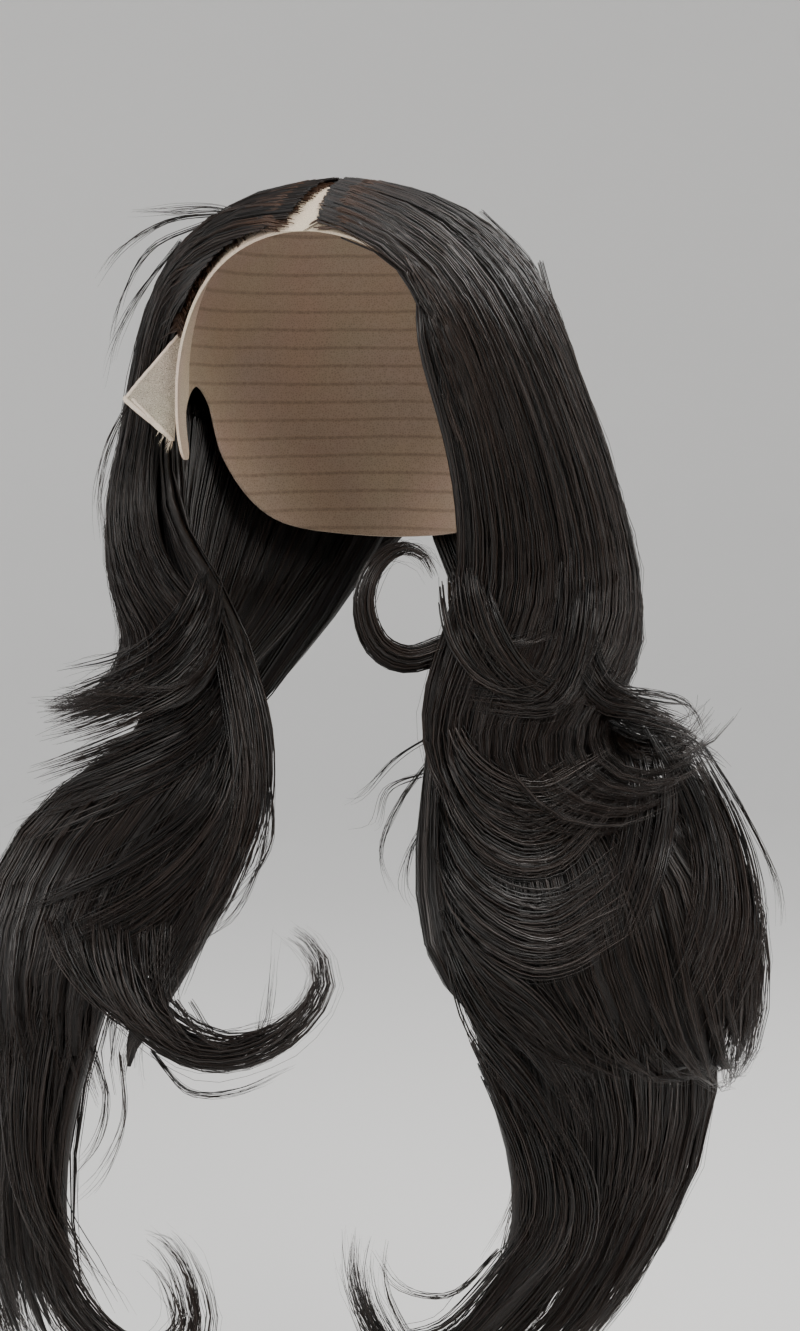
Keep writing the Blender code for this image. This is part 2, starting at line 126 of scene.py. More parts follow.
TOP_LEFT = [
    ((34, 87, -50), (94, 88, -40), (184, 104, -60)),
    ((44, 85, -88), (106, 99, -80), (186, 110, -92)),
    ((51, 83, -115), (109, 111, -113), (186, 111, -125)),
    ((57, 80, -145), (109, 122, -150), (178, 109, -155)),
    ((57, 78, -178), (107, 128, -182), (160, 106, -185)),
    ((50, 74, -208), (98, 125, -212), (146, 104, -215)),
    ((50, 68, -240), (84, 110, -240), (122, 108, -238)),
    ((54, 82, -272), (80, 122, -262), (108, 130, -252)),
    ((66, 106, -290), (88, 148, -266), (106, 158, -240)),
    ((80, 126, -284), (98, 160, -252), (110, 165, -230)),
]
MIDDLE_LEFT = [
    ((70, 82, -98), (118, 95, -100), (177, 103, -105)),
    ((66, 74, -150), (108, 99, -155), (170, 98, -150)),
    ((60, 64, -210), (92, 95, -215), (144, 94, -210)),
    ((53, 62, -262), (84, 114, -265), (118, 118, -255)),
    ((42, 82, -305), (80, 144, -305), (106, 170, -300)),
    ((42, 100, -340), (78, 158, -345), (104, 186, -345)),
    ((58, 126, -372), (84, 166, -385), (102, 182, -385)),
    ((80, 148, -372), (98, 176, -392), (108, 174, -405)),
]
LONG_LEFT = [
    ((84, 84, -105), (122, 93, -108), (179, 96, -115)),
    ((78, 76, -165), (112, 92, -165), (171, 93, -165)),
    ((64, 76, -235), (96, 96, -235), (142, 92, -230)),
    ((52, 92, -310), (84, 128, -305), (115, 133, -300)),
    ((52, 106, -375), (82, 142, -375), (106, 162, -370)),
    ((60, 110, -430), (86, 140, -430), (106, 160, -425)),
    ((60, 106, -470), (84, 128, -470), (104, 144, -465)),
    ((46, 96, -505), (70, 110, -508), (94, 116, -505)),
    ((26, 90, -522), (48, 94, -532), (73, 90, -535)),
]
TOP_THICKNESS = [3.2, 5, 7, 9, 10, 11, 12, 12, 10, 5]
LOWER_THICKNESS = [3, 7, 11, 13, 14, 15, 16, 15, 12, 5]

CHEEK_CURL = [
    # across, back, up, width, thickness
    (72, -32, -190, 9, 6),
    (61, -46, -201, 11, 6),
    (47, -58, -206, 11, 6),
    (37, -67, -199, 10, 6),
    (32, -70, -182, 9, 5),
    (37, -70, -166, 8, 5),
    (47, -66, -158, 6, 4),
    (56, -62, -161, 4, 3),
    (60, -59, -171, 2, 2),
]
CHEST_CURL = [
    (-74, -24, -282, 30, 10),
    (-87, -54, -298, 32, 12),
    (-84, -84, -324, 30, 13),
    (-69, -96, -350, 27, 13),
    (-47, -99, -368, 24, 12),
    (-24, -100, -374, 21, 11),
    (-4, -99, -369, 17, 10),
    (12, -97, -357, 13, 8),
    (20, -94, -342, 10, 7),
    (16, -94, -329, 6, 5),
    (6, -95, -321, 2.5, 3),
]
END_CURL_RIGHT = [
    (-118, -66, -436, 18, 9),
    (-113, -90, -466, 20, 10),
    (-97, -99, -494, 20, 11),
    (-75, -97, -514, 18, 10),
    (-54, -94, -516, 16, 9),
    (-41, -92, -502, 13, 8),
    (-43, -94, -481, 9, 6),
    (-50, -96, -467, 5, 4),
    (-58, -99, -459, 2, 3),
]
END_CURL_LEFT = [
    (116, -12, -434, 24, 10),
    (111, -42, -456, 26, 11),
    (92, -62, -485, 23, 11),
    (71, -70, -505, 19, 10),
    (50, -76, -508, 15, 9),
    (38, -80, -490, 11, 8),
    (34, -82, -470, 7, 5),
    (36, -81, -453, 2.5, 3),
]


def linked(name, data):
    ob = bpy.data.objects.new(name, data)
    bpy.context.scene.collection.objects.link(ob)
    return ob


# Camera at the photograph's angle, and a way from its 800 by 1331 frame back to the hair
AZIMUTH, ELEVATION, DISTANCE = radians(18), radians(5), 1350.0
FRAME_WIDTH, FRAME_HEIGHT = 800, 1331
PIXEL = 0.456
SENSOR = 36
RIGHT = np.array([cos(AZIMUTH), sin(AZIMUTH), 0])
BACK = np.array([sin(AZIMUTH) * cos(ELEVATION), -cos(AZIMUTH) * cos(ELEVATION), sin(ELEVATION)])
UP = np.cross(BACK, RIGHT)
EYE = RIGHT * 24.0 + np.array([0, 0, -215.0]) + BACK * DISTANCE
camera = bpy.data.cameras.new("camera")
camera.sensor_fit = "VERTICAL"
camera.sensor_height = SENSOR
camera.lens = DISTANCE / PIXEL * SENSOR / FRAME_HEIGHT
eye = linked("camera", camera)
turn = Matrix((Vector(RIGHT), Vector(UP), Vector(BACK))).transposed().to_4x4()
turn.translation = Vector(EYE * MM)
eye.matrix_world = turn
bpy.context.scene.camera = eye


# Directions, tables and paths
def unit(v):
    return v / max(np.linalg.norm(v), 1e-9)


def heading(path, i):
    """Direction of a path at a point, from the points on both sides"""
    return unit(path[min(i + 1, len(path) - 1)] - path[max(i - 1, 0)])


def units(rows):
    return rows / np.maximum(np.linalg.norm(rows, axis=1), 1e-6)[:, None]


def table_at(table, v):
    return np.interp(np.asarray(v) * (len(table) - 1), range(len(table)), table)


def line_at(rows, share):
    """Back and up at a share of the way along a line of points"""
    return [np.interp(share * (len(rows) - 1), range(len(rows)), column) for column in zip(*rows)]


def across(row, u):
    """Azimuth, radius and height between the front, side and back columns of a row"""
    front, side, back = (np.array(c, float) for c in row)
    return front * (1 - u) * (1 - 2 * u) + side * 4 * u * (1 - u) + back * u * (2 * u - 1)


def place(azimuth, radius, up, side):
    a = radians(azimuth)
    return np.array([side * radius * sin(a), -radius * cos(a), up])


def smooth_path(points, count):
    """Points at even steps on a smooth curve through the given ones"""
    p = np.asarray(points, float)
    p = np.vstack([2 * p[0] - p[1], p, 2 * p[-1] - p[-2]])
    out = []
    for i in range(1, len(p) - 2):
        p0, p1, p2, p3 = p[i - 1], p[i], p[i + 1], p[i + 2]
        t = np.linspace(0, 1, 16, endpoint=False)[:, None]
        k01 = max(np.linalg.norm((p1 - p0)[:3]), 1e-6) ** 0.5
        k12 = max(np.linalg.norm((p2 - p1)[:3]), 1e-6) ** 0.5
        k23 = max(np.linalg.norm((p3 - p2)[:3]), 1e-6) ** 0.5
        m1 = p2 - p1 + k12 * ((p1 - p0) / k01 - (p2 - p0) / (k01 + k12))
        m2 = p2 - p1 + k12 * ((p3 - p2) / k23 - (p3 - p1) / (k12 + k23))
        a = 2 * (p1 - p2) + m1 + m2
        b = -3 * (p1 - p2) - 2 * m1 - m2
        out.append(a * t**3 + b * t**2 + m1 * t + p1)
    out.append(p[-2][None])
    q = np.vstack(out)
    steps = np.linalg.norm(np.diff(q[:, :3], axis=0), axis=1)
    s = np.concatenate([[0], np.cumsum(steps)])
    at = np.linspace(0, s[-1], count)
    return np.stack([np.interp(at, s, q[:, k]) for k in range(q.shape[1])], axis=1)


def over_head(direction, lift):
    """Point over the cap in a direction, which is given as on a round head"""
    d = direction / np.linalg.norm(direction)
    return d * (SEMI + CAP_WALL + lift) + CENTRE


def root_place(u, side):
    """Direction of the root on the head: up the hairline, then back along the parting"""
    along = min(max(u, 0) / ROOT_SHARE, 1)
    share = HAIRLINE_SHARE_LEFT if side > 0 else HAIRLINE_SHARE_RIGHT
    if along < share:
        back, up = line_at(HAIRLINE, along / share)
        start = np.array([0, back, up + HEAD_CROWN_HEIGHT]) / SEMI
        start[0] = side * np.sqrt(max(1 - start @ start, 0.001))
    else:
        f = (along - share) / (1 - share)
        back = PARTING_FRONT + (PARTING_END - PARTING_FRONT) * f
        gap = np.interp(back, [PARTING_FRONT, -34, PARTING_END], [6.0, PARTING_HALF_GAP, 1.4])
        start = np.array([side * gap, back, 0]) / SEMI
        start[2] = np.sqrt(1 - start[0] ** 2 - start[1] ** 2)
    return start


def from_parting(u, side, first):
    """Points over the head from the root to the first point of a layer's table"""
    start = root_place(u, side)
    end = (first - CENTRE) / SEMI
    reach = np.linalg.norm(end)
    end = end / reach
    angle = np.arccos(np.clip(start @ end, -1, 1))
    bow = 0.12 * max(0, 1 - u / 0.5)
    out = []
    for t in (0, 0.2, 0.4, 0.6, 0.8):
        d = (sin((1 - t) * angle) * start + sin(t * angle) * end) / sin(angle)
        d = d + np.array([side * 0.5, 0, 0.6]) * bow * 4 * t * (1 - t)
        d = d / np.linalg.norm(d)
        near = over_head(d, 3.0 * (1 - t) ** 2 + 9.0 * 2 * t * (1 - t))
        far = d * SEMI * reach + CENTRE
        out.append(near * (1 - t**2) + far * t**2)
    return out


def eased(path, rounds, upto=1.0):
    """Softens the bends in a path, all along it or only in its first part"""
    q = path.copy()
    n = len(q)
    share = np.clip((upto - np.linspace(0, 1, n)) / 0.15, 0, 1)[1:-1, None]
    for _ in range(rounds):
        soft = 0.25 * q[:-2] + 0.5 * q[1:-1] + 0.25 * q[2:]
        q[1:-1] += (soft - q[1:-1]) * share
    return q


FALL_POINTS = 90
SOFT_OVER_HEAD, SOFT_WHOLE, SOFT_LOWER = 50, 16, 14  # rounds of easing
TIP_CROWDING = 1.22


def fall(rows, u, side, count, parting):
    """One line of a layer, from front (u 0) to back (u 1), with its points closer at the tip"""
    points = [place(*across(row, u), side) for row in rows]
    if parting:
        points = from_parting(u, side, points[0]) + points
    q = smooth_path(points, FALL_POINTS)
    q = eased(eased(q, SOFT_OVER_HEAD, 0.5), SOFT_WHOLE) if parting else eased(q, SOFT_LOWER)
    at = (len(q) - 1) * (1 - (1 - np.linspace(0, 1, count)) ** TIP_CROWDING)
    return np.stack([np.interp(at, np.arange(len(q)), q[:, k]) for k in range(3)], axis=1)


def frames_along(path, towards):
    """Sideways and outward directions along a path, steady from root to tip"""
    n = len(path)
    sides, outs, last = [], [], None
    for i in range(n):
        t = heading(path, i)
        s = towards[i] - t * (towards[i] @ t)
        room = np.linalg.norm(s)
        s = unit(s)
        if last is not None:
            kept = unit(last - t * (last @ t))
            if s @ kept < 0:
                s = -s
            trust = min(room / 8, 1)
            s = unit(kept * (1 - trust) + s * trust)
        last = s
        sides.append(s)
        outs.append(np.cross(t, s))
    sides, outs = np.array(sides), np.array(outs)
    upper = slice(0, n // 2)
    if np.einsum("ij,ij->", path[upper] - CENTRE, outs[upper]) < 0:
        outs = -outs
    return sides, outs


# Meshes from arrays
def mesh_object(name, verts, faces, mat):
    mesh = bpy.data.meshes.new(name)
    mesh.from_pydata([tuple(v * MM) for v in np.asarray(verts, float)], [], faces)
    mesh.materials.append(mat)
    mesh.polygons.foreach_set("use_smooth", [True] * len(mesh.polygons))
    return linked(name, mesh)


def lock_mesh(name, paths, sides, outs, widths, thicknesses, around, mat, seed=0):
    """Locks as closed lens-shaped tubes, with attributes that run across and along each"""
    rng = np.random.default_rng(seed)
    a = 2 * pi * np.arange(around) / around
    verts, faces, lane, run, tone = [], [], [], [], []
    base = 0
    for path, side, out, w, th in zip(paths, sides, outs, widths, thicknesses):
        n = len(path)
        w, th = np.asarray(w, float), np.asarray(th, float)
        ring = (path[:, None] + side[:, None] * (np.cos(a)[None, :] * w[:, None] / 2)[..., None]
                + out[:, None] * (np.sin(a)[None, :] * th[:, None] / 2)[..., None])
        verts.append(ring.reshape(-1, 3))
        steps = np.linalg.norm(np.diff(path, axis=0), axis=1)
        s = np.concatenate([[0], np.cumsum(steps)])
        wide = np.max(w)
        lane.append(np.tile(rng.uniform(0, 900) + wide * 0.5 * np.cos(a) + wide * 0.13 * np.sin(a), n))
        run.append(np.repeat(s, around))
        tone.append(np.full(n * around, rng.uniform(0, 1)))
        i = np.arange(n - 1)[:, None] * around + base
        k = np.arange(around)[None]
        j = (k + 1) % around
        quads = np.stack([i + k, i + j, i + around + j, i + around + k], axis=-1).reshape(-1, 4)
        faces += quads.tolist()
        faces.append(list(range(base, base + around))[::-1])
        faces.append(list(range(base + (n - 1) * around, base + n * around)))
        base += n * around
    ob = mesh_object(name, np.vstack(verts), faces, mat)
    for key, values in (("lane", lane), ("run", run), ("tone", tone)):
        attribute = ob.data.attributes.new(key, "FLOAT", "POINT")
        attribute.data.foreach_set("value", np.concatenate(values).astype(np.float32))
    faces_out(ob)
    return ob


def dressed(ob, node):
    """A piece that rides the wig and stands for one of its solids"""
    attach(ob, "root")
    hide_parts(node)
    return ob


def applied(ob, mod):
    """Keeps what a modifier makes of a piece, and drops the modifier"""
    graph = bpy.context.evaluated_depsgraph_get()
    mesh = bpy.data.meshes.new_from_object(ob.evaluated_get(graph))
    ob.modifiers.remove(mod)
    old, ob.data = ob.data, mesh
    bpy.data.meshes.remove(old)
    return mesh


def faces_out(ob):
    bm = bmesh.new()
    bm.from_mesh(ob.data)
    bmesh.ops.recalc_face_normals(bm, faces=bm.faces[:])
    bm.to_mesh(ob.data)
    bm.free()


# Nodes: one helper for the strand tree and for the materials
class Graph:
    def __init__(self, tree):
        self.tree = tree

    def add(self, kind, _out=0, _props=None, **inputs):
        """A node with its properties and inputs set; gives its output number _out"""
        node = self.tree.nodes.new(kind)
        for key, value in (_props or {}).items():
            setattr(node, key, value)
        for key, value in inputs.items():
            key = key.replace("_", " ")
            if key.isdigit():
                target = node.inputs[int(key)]
            else:
                target = next(s for s in node.inputs if s.enabled and s.name == key)
            self.feed(target, value)
        shown = [s for s in node.outputs if s.enabled]
        return shown[_out]

    def feed(self, target, value):
        if isinstance(value, bpy.types.NodeSocket):
            self.tree.links.new(value, target)
        else:
            target.default_value = value

    def math(self, operation, *values):
        given = {str(i): value for i, value in enumerate(values)}
        return self.add("ShaderNodeMath", _props={"operation": operation}, **given)

    def vector(self, operation, a, b=None, scale=None):
        given = {"0": a}
        if b is not None:
            given["1"] = b
        if scale is not None:
            given["Scale"] = scale
        return self.add("ShaderNodeVectorMath", _props={"operation": operation}, **given)

    def ramp(self, value, low, dark, high, light):
        """Colour from dark at low to light at high"""
        node = self.tree.nodes.new("ShaderNodeValToRGB")
        for element, position, colour in zip(node.color_ramp.elements, (low, high), (dark, light)):
            element.position = position
            element.color = (*colour, 1)
        self.tree.links.new(value, node.inputs[0])
        return node.outputs[0]


# Geometry Nodes: one tree turns guide lines into many fine tapering strands
LOOK_KEYS = ("Strands", "Radius", "Inner", "Arc Start", "Arc End", "Frizz", "Frizz Scale", "Trim Root",
             "Trim Tip")
LOOKS = {
    # strands to a guide, radius in metres, part of the guide's ellipse they fill (from inner to its
    # edge, from angle to angle), frizz in metres and its scale, trims as shares of the length
    "layer": (13, 0.00043, 0.0, 0.0, pi, 0.003, 22.0, 0.01, 0.15),
    "layer_stray": (3, 0.00016, 0.9, 0.2, pi - 0.2, 0.010, 20.0, 0.02, 0.15),
    "inside": (10, 0.0005, 0.0, pi, 2 * pi, 0.003, 22.0, 0.01, 0.22),
    "curl": (12, 0.00036, 0.2, 0.0, 2 * pi, 0.002, 25.0, 0.06, 0.3),
    "curl_stray": (4, 0.00014, 0.9, 0.0, 2 * pi, 0.012, 20.0, 0.1, 0.1),
    "laid": (9, 0.00038, 0.0, -0.6, pi + 0.6, 0.002, 25.0, 0.2, 0.4),
    "laid_stray": (3, 0.00015, 0.5, 0.0, pi, 0.010, 25.0, 0.1, 0.25),
    "hairline": (5, 0.00034, 0.0, 0.0, pi, 0.002, 60.0, 0.04, 0.4),
    "root": (4, 0.00015, 0.3, 0.0, 2 * pi, 0.003, 60.0, 0.02, 0.8),
    "flyaway": (2, 0.00016, 0.0, 0.0, 6.28, 0.004, 30.0, 0.02, 0.35),
    "thread": (3, 0.00014, 0.0, 0.0, 6.28, 0.003, 120.0, 0.0, 0.5),
}
STRAY_STEP = 7  # between the seed of a piece's strands and that of its strays


def strand_tree():
    """The tree, and the identifier of each named input"""
    group = bpy.data.node_groups.new("strands_along_guides", "GeometryNodeTree")
    ids = {}
    for name in ("Geometry", *LOOK_KEYS, "Seed", "Material"):
        kind = {"Strands": "Int", "Seed": "Int", "Geometry": name, "Material": name}.get(name, "Float")
        s = group.interface.new_socket(name, in_out="INPUT", socket_type="NodeSocket" + kind)
        ids[name] = s.identifier
    group.interface.new_socket("Geometry", in_out="OUTPUT", socket_type="NodeSocketGeometry")
    given = group.nodes.new("NodeGroupInput").outputs
    sink = group.nodes.new("NodeGroupOutput")
    t = Graph(group)

    lines = t.add("GeometryNodeMeshToCurve", Mesh=given["Geometry"])
    many = t.add("GeometryNodeDuplicateElements", _props={"domain": "SPLINE"},
                 Geometry=lines, Amount=given["Strands"])
    strand = t.add("GeometryNodeFieldOnDomain", _props={"domain": "CURVE", "data_type": "INT"},
                   Value=t.add("GeometryNodeInputIndex"))

    def chance(step, low=0.0, high=1.0, kind="FLOAT"):
        seed = t.math("ADD", given["Seed"], step)
        return t.add("FunctionNodeRandomValue", _props={"data_type": kind},
                     Min=low, Max=high, ID=strand, Seed=seed)

    angle = t.math("ADD", given["Arc Start"], t.math(
        "MULTIPLY", chance(1), t.math("SUBTRACT", given["Arc End"], given["Arc Start"])))
    reach = t.math("ADD", given["Inner"], t.math(
        "MULTIPLY", t.math("SUBTRACT", 1.05, given["Inner"]), chance(2)))
    a = t.math("MULTIPLY", reach, t.math("COSINE", angle))
    b = t.math("MULTIPLY", reach, t.math("SINE", angle))
    side = t.add("GeometryNodeInputNamedAttribute", _props={"data_type": "FLOAT_VECTOR"}, Name="side")
    out = t.add("GeometryNodeInputNamedAttribute", _props={"data_type": "FLOAT_VECTOR"}, Name="out")
    spread = t.vector("ADD", t.vector("SCALE", side, scale=a), t.vector("SCALE", out, scale=b))
    along = t.add("GeometryNodeSplineParameter")
    away = chance(3, (-50.0,) * 3, (50.0,) * 3, "FLOAT_VECTOR")
    where = t.vector("ADD", t.vector("SCALE", t.add("GeometryNodeInputPosition"),
                                     scale=given["Frizz Scale"]), away)
    noise = t.add("ShaderNodeTexNoise", _out=1, Vector=where, Scale=1.0, Detail=1.0)
    wild = t.vector("SCALE", t.vector("SUBTRACT", noise, (0.5, 0.5, 0.5)),
                    scale=t.math("MULTIPLY", given["Frizz"], t.math("MULTIPLY", along, 2.0)))
    moved = t.add("GeometryNodeSetPosition", Geometry=many, Offset=t.vector("ADD", spread, wild))
    start = t.math("MULTIPLY", given["Trim Root"], chance(4))
    end = t.math("SUBTRACT", 1.0, t.math("MULTIPLY", given["Trim Tip"], chance(5)))
    cut = t.add("GeometryNodeTrimCurve", _props={"mode": "FACTOR"}, Curve=moved, Start=start, End=end)
    after = t.add("GeometryNodeSplineParameter")
    taper = t.math("SUBTRACT", 1.0, t.math("MULTIPLY", t.math("POWER", after, 4.0), 0.85))
    thick = t.math("MULTIPLY", given["Radius"], t.math("MULTIPLY", taper, chance(6, 0.6, 1.3)))
    sized = t.add("GeometryNodeSetCurveRadius", Curve=cut, Radius=thick)
    toned = t.add("GeometryNodeStoreNamedAttribute", _props={"data_type": "FLOAT", "domain": "POINT"},
                  Geometry=sized, Name="tone", Value=chance(7))
    toned = t.add("GeometryNodeStoreNamedAttribute", _props={"data_type": "FLOAT", "domain": "POINT"},
                  Geometry=toned, Name="along", Value=after)
    ring = t.add("GeometryNodeCurvePrimitiveCircle", Resolution=3, Radius=1.0)
    tube = group.nodes.new("GeometryNodeCurveToMesh")
    for name, value in (("Curve", toned), ("Profile Curve", ring), ("Fill Caps", True),
                        ("Scale", thick)):
        if name in tube.inputs:
            t.feed(tube.inputs[name], value)
    soft = t.add("GeometryNodeSetShadeSmooth", Geometry=tube.outputs[0])
    painted = t.add("GeometryNodeSetMaterial", Geometry=soft, Material=given["Material"])
    real = t.add("GeometryNodeRealizeInstances", Geometry=painted)
    group.links.new(real, sink.inputs[0])
    return group, ids


STRANDS, STRAND_INPUTS = strand_tree()


def strands(name, node, guides, mat, look, seed, count=None):
    """guides: a list of (path, sideways half widths, outward half depths), each n by 3"""
    verts = np.vstack([g[0] for g in guides]) * MM
    edges, base = [], 0
    for g in guides:
        n = len(g[0])
        edges += [(base + i, base + i + 1) for i in range(n - 1)]
        base += n
    mesh = bpy.data.meshes.new(name + "_guides")
    mesh.from_pydata([tuple(v) for v in verts], edges, [])
    for key, column in (("side", 1), ("out", 2)):
        data = np.vstack([g[column] for g in guides]) * MM
        attribute = mesh.attributes.new(key, "FLOAT_VECTOR", "POINT")
        attribute.data.foreach_set("vector", data.astype(np.float32).ravel())
    ob = linked(name, mesh)
    mod = ob.modifiers.new("strands", "NODES")
    mod.node_group = STRANDS
    values = dict(zip(LOOK_KEYS, LOOKS[look]), Seed=seed, Material=mat)
    if count:
        values["Strands"] = count
    for key, value in values.items():
        mod[STRAND_INPUTS[key]] = value
    result = applied(ob, mod)
    result.name = name
    if not result.materials:
        result.materials.append(mat)
    return dressed(ob, node)


# Materials
def new_material(name):
    m = bpy.data.materials.new(name)
    m.use_nodes = True
    return m, Graph(m.node_tree), m.node_tree.nodes["Principled BSDF"].inputs


def attribute(t, name):
    return t.add("ShaderNodeAttribute", _out=2, _props={"attribute_name": name})


def map_range(t, value, low, high, at_low, at_high, kind="LINEAR"):
    return t.add("ShaderNodeMapRange", _props={"interpolation_type": kind}, Value=value, From_Min=low,
                 From_Max=high, To_Min=at_low, To_Max=at_high)


def mixed(t, factor, a, b, blend="MIX"):
    return t.add("ShaderNodeMix", _props={"data_type": "RGBA", "blend_type": blend},
                 Factor=factor, A=a, B=b)


def hair_material(name, dark, light, root=None):
    """Fine strands: each has its own tone; lighter and warmer towards the tip, which is painted light
    shining through the thin ends; and, at the hairline, warmer at the root
    """
    m, t, shader = new_material(name)
    tone, along = attribute(t, "tone"), attribute(t, "along")
    # painted light: colour runs lighter and warmer along each strand to its tip, for light shining
    # through the fine ends; the random tone is the strand's own colour
    colour = t.ramp(t.math("MULTIPLY_ADD", along, 0.35, tone), 0.35, dark, 1.3, light)
    if root:
        near_root = map_range(t, along, 0.02, 0.22, 0.85, 0.0)
        colour = mixed(t, near_root, colour, (*root, 1))
    t.feed(shader["Base Color"], colour)
    t.feed(shader["Roughness"], 0.34)
    t.feed(shader["Specular IOR Level"], 0.45)
    return m


# Ends of the strands' ramp: random tone and the painted tip glow of light through the ends both lean
# towards the light end
STRAND_DARK = (0.0034, 0.0026, 0.0021)
HAIR = hair_material("hair_fibre", STRAND_DARK, (0.021, 0.0125, 0.009))
ROOTS = hair_material("hair_roots", STRAND_DARK, (0.024, 0.0138, 0.0097), (0.062, 0.030, 0.016))


def lock_material(name, dark, light):
    """Hair as streaks along a lock: colour and relief change quickly across it, slowly along it"""
    m, t, shader = new_material(name)
    fields = [t.math("MULTIPLY", attribute(t, key), scale)
              for key, scale in (("lane", 1.0), ("run", 0.012), ("tone", 7.0))]
    where = t.add("ShaderNodeCombineXYZ", X=fields[0], Y=fields[1], Z=fields[2])
    streak = t.add("ShaderNodeTexNoise", Vector=where, Scale=2.6, Detail=3.0)
    t.feed(shader["Base Color"], t.ramp(streak, 0.38, dark, 0.72, light))
    t.feed(shader["Normal"], t.add("ShaderNodeBump", Strength=0.9, Distance=0.0006, Height=streak))
    t.feed(shader["Roughness"], 0.4)
    t.feed(shader["Specular IOR Level"], 0.4)
    return m


UNDER = lock_material("hair_under", (0.003, 0.0022, 0.0018), (0.013, 0.008, 0.006))


def net_material(name, thread, hole, cell, rows=0.0, row_colour=(0, 0, 0), alpha=1.0):
    """Knotted net: fine cells on the object, and stitched rows where rows is their pitch"""
    m, t, shader = new_material(name)
    place_on = t.add("ShaderNodeTexCoord", _out=3)
    cells = t.add("ShaderNodeTexVoronoi", _props={"feature": "DISTANCE_TO_EDGE"}, Vector=place_on,
                  Scale=1 / cell, Randomness=0.9)
    tint = t.add("ShaderNodeTexNoise", _out=1, Vector=place_on, Scale=28, Detail=3)
    colour = mixed(t, 0.18, t.ramp(cells, 0.06, thread, 0.30, hole), tint, "MULTIPLY")
    if rows:
        up = t.add("ShaderNodeSeparateXYZ", _out=2, Vector=place_on)
        sag = t.add("ShaderNodeTexNoise", Vector=place_on, Scale=14)
        from_row = t.math("PINGPONG", t.math("MULTIPLY_ADD", sag, 0.0035, up), rows / 2)
        band = map_range(t, from_row, 0.0003, 0.0012, 1.0, 0.0, "SMOOTHSTEP")
        stitch = t.add("ShaderNodeTexNoise", Vector=place_on, Scale=420)
        colour = mixed(t, t.math("MULTIPLY", band, stitch), colour, (*row_colour, 1))
    relief = t.add("ShaderNodeBump", _props={"invert": True}, Strength=0.35, Distance=0.0003,
                   Height=cells)
    t.feed(shader["Normal"], relief)
    t.feed(shader["Base Color"], colour)
    t.feed(shader["Roughness"], 0.8)
    if alpha < 1:
        t.feed(shader["Alpha"], map_range(t, cells, 0.08, 0.30, 1.0, alpha))
    return m


NET = net_material("cap_net", (0.46, 0.35, 0.26), (0.34, 0.25, 0.18), 0.0011, 0.0085,
                   (0.21, 0.15, 0.105))
LACE = net_material("lace", (0.74, 0.60, 0.47), (0.64, 0.51, 0.39), 0.0006, alpha=0.72)
FOLD = net_material("lace_fold", (0.50, 0.44, 0.35), (0.33, 0.29, 0.23), 0.0006, alpha=0.22)
HEM = net_material("lace_hem", (0.80, 0.69, 0.57), (0.66, 0.54, 0.43), 0.0007)


# Cap and lace: one smooth dome, cut as in the solids
def object_of(bm, name):
    """Turns a built mesh into an object, its faces outwards"""
    bmesh.ops.recalc_face_normals(bm, faces=bm.faces[:])
    mesh = bpy.data.meshes.new(name)
    bm.to_mesh(mesh)
    bm.free()
    return linked(name, mesh)


def ellipsoid(name, grow):
    bm = bmesh.new()
    bmesh.ops.create_uvsphere(bm, u_segments=96, v_segments=54, radius=1.0)
    for v in bm.verts:
        v.co = (np.array(v.co) * (SEMI + grow) + CENTRE) * MM
    return object_of(bm, name)


def prism(name, outline, half_width):
    bm = bmesh.new()
    ring = [bm.verts.new((-half_width * MM, y * MM, z * MM)) for y, z in outline]
    face = bm.faces.new(ring)
    moved = bmesh.ops.extrude_face_region(bm, geom=[face])
    for v in moved["geom"]:
        if isinstance(v, bmesh.types.BMVert):
            v.co.x = half_width * MM
    bmesh.ops.triangulate(bm, faces=bm.faces[:])
    return object_of(bm, name)


def box(name, low, high):
    bm = bmesh.new()
    bmesh.ops.create_cube(bm, size=1.0)
    low, high = np.array(low, float), np.array(high, float)
    for v in bm.verts:
        v.co = ((low + high) / 2 + np.array(v.co) * (high - low)) * MM
    return object_of(bm, name)


def cut(ob, tool, operation="DIFFERENCE"):
    mod = ob.modifiers.new("cut", "BOOLEAN")
    mod.operation = operation
    mod.solver = "EXACT"
    mod.object = tool
    applied(ob, mod)


def moved_edge(edge, by):
    """An edge seen from the side, moved square to its run"""
    headings = [heading(np.array(edge, float), i) for i in range(len(edge))]
    return [(y - t[1] * by, z + t[0] * by) for (y, z), t in zip(edge, headings)]


def finish_dome(ob, mat):
    bm = bmesh.new()
    bm.from_mesh(ob.data)
    bmesh.ops.remove_doubles(bm, verts=bm.verts[:], dist=0.00002)
    bm.to_mesh(ob.data)
    bm.free()
    ob.data.materials.clear()
    ob.data.materials.append(mat)
    ob.data.polygons.foreach_set("use_smooth", [True] * len(ob.data.polygons))
    ob.data.set_sharp_from_angle(angle=radians(40))


CUT_HALF_WIDTH = 130  # reaches past the cap on both sides
EDGE_STEPS = 6


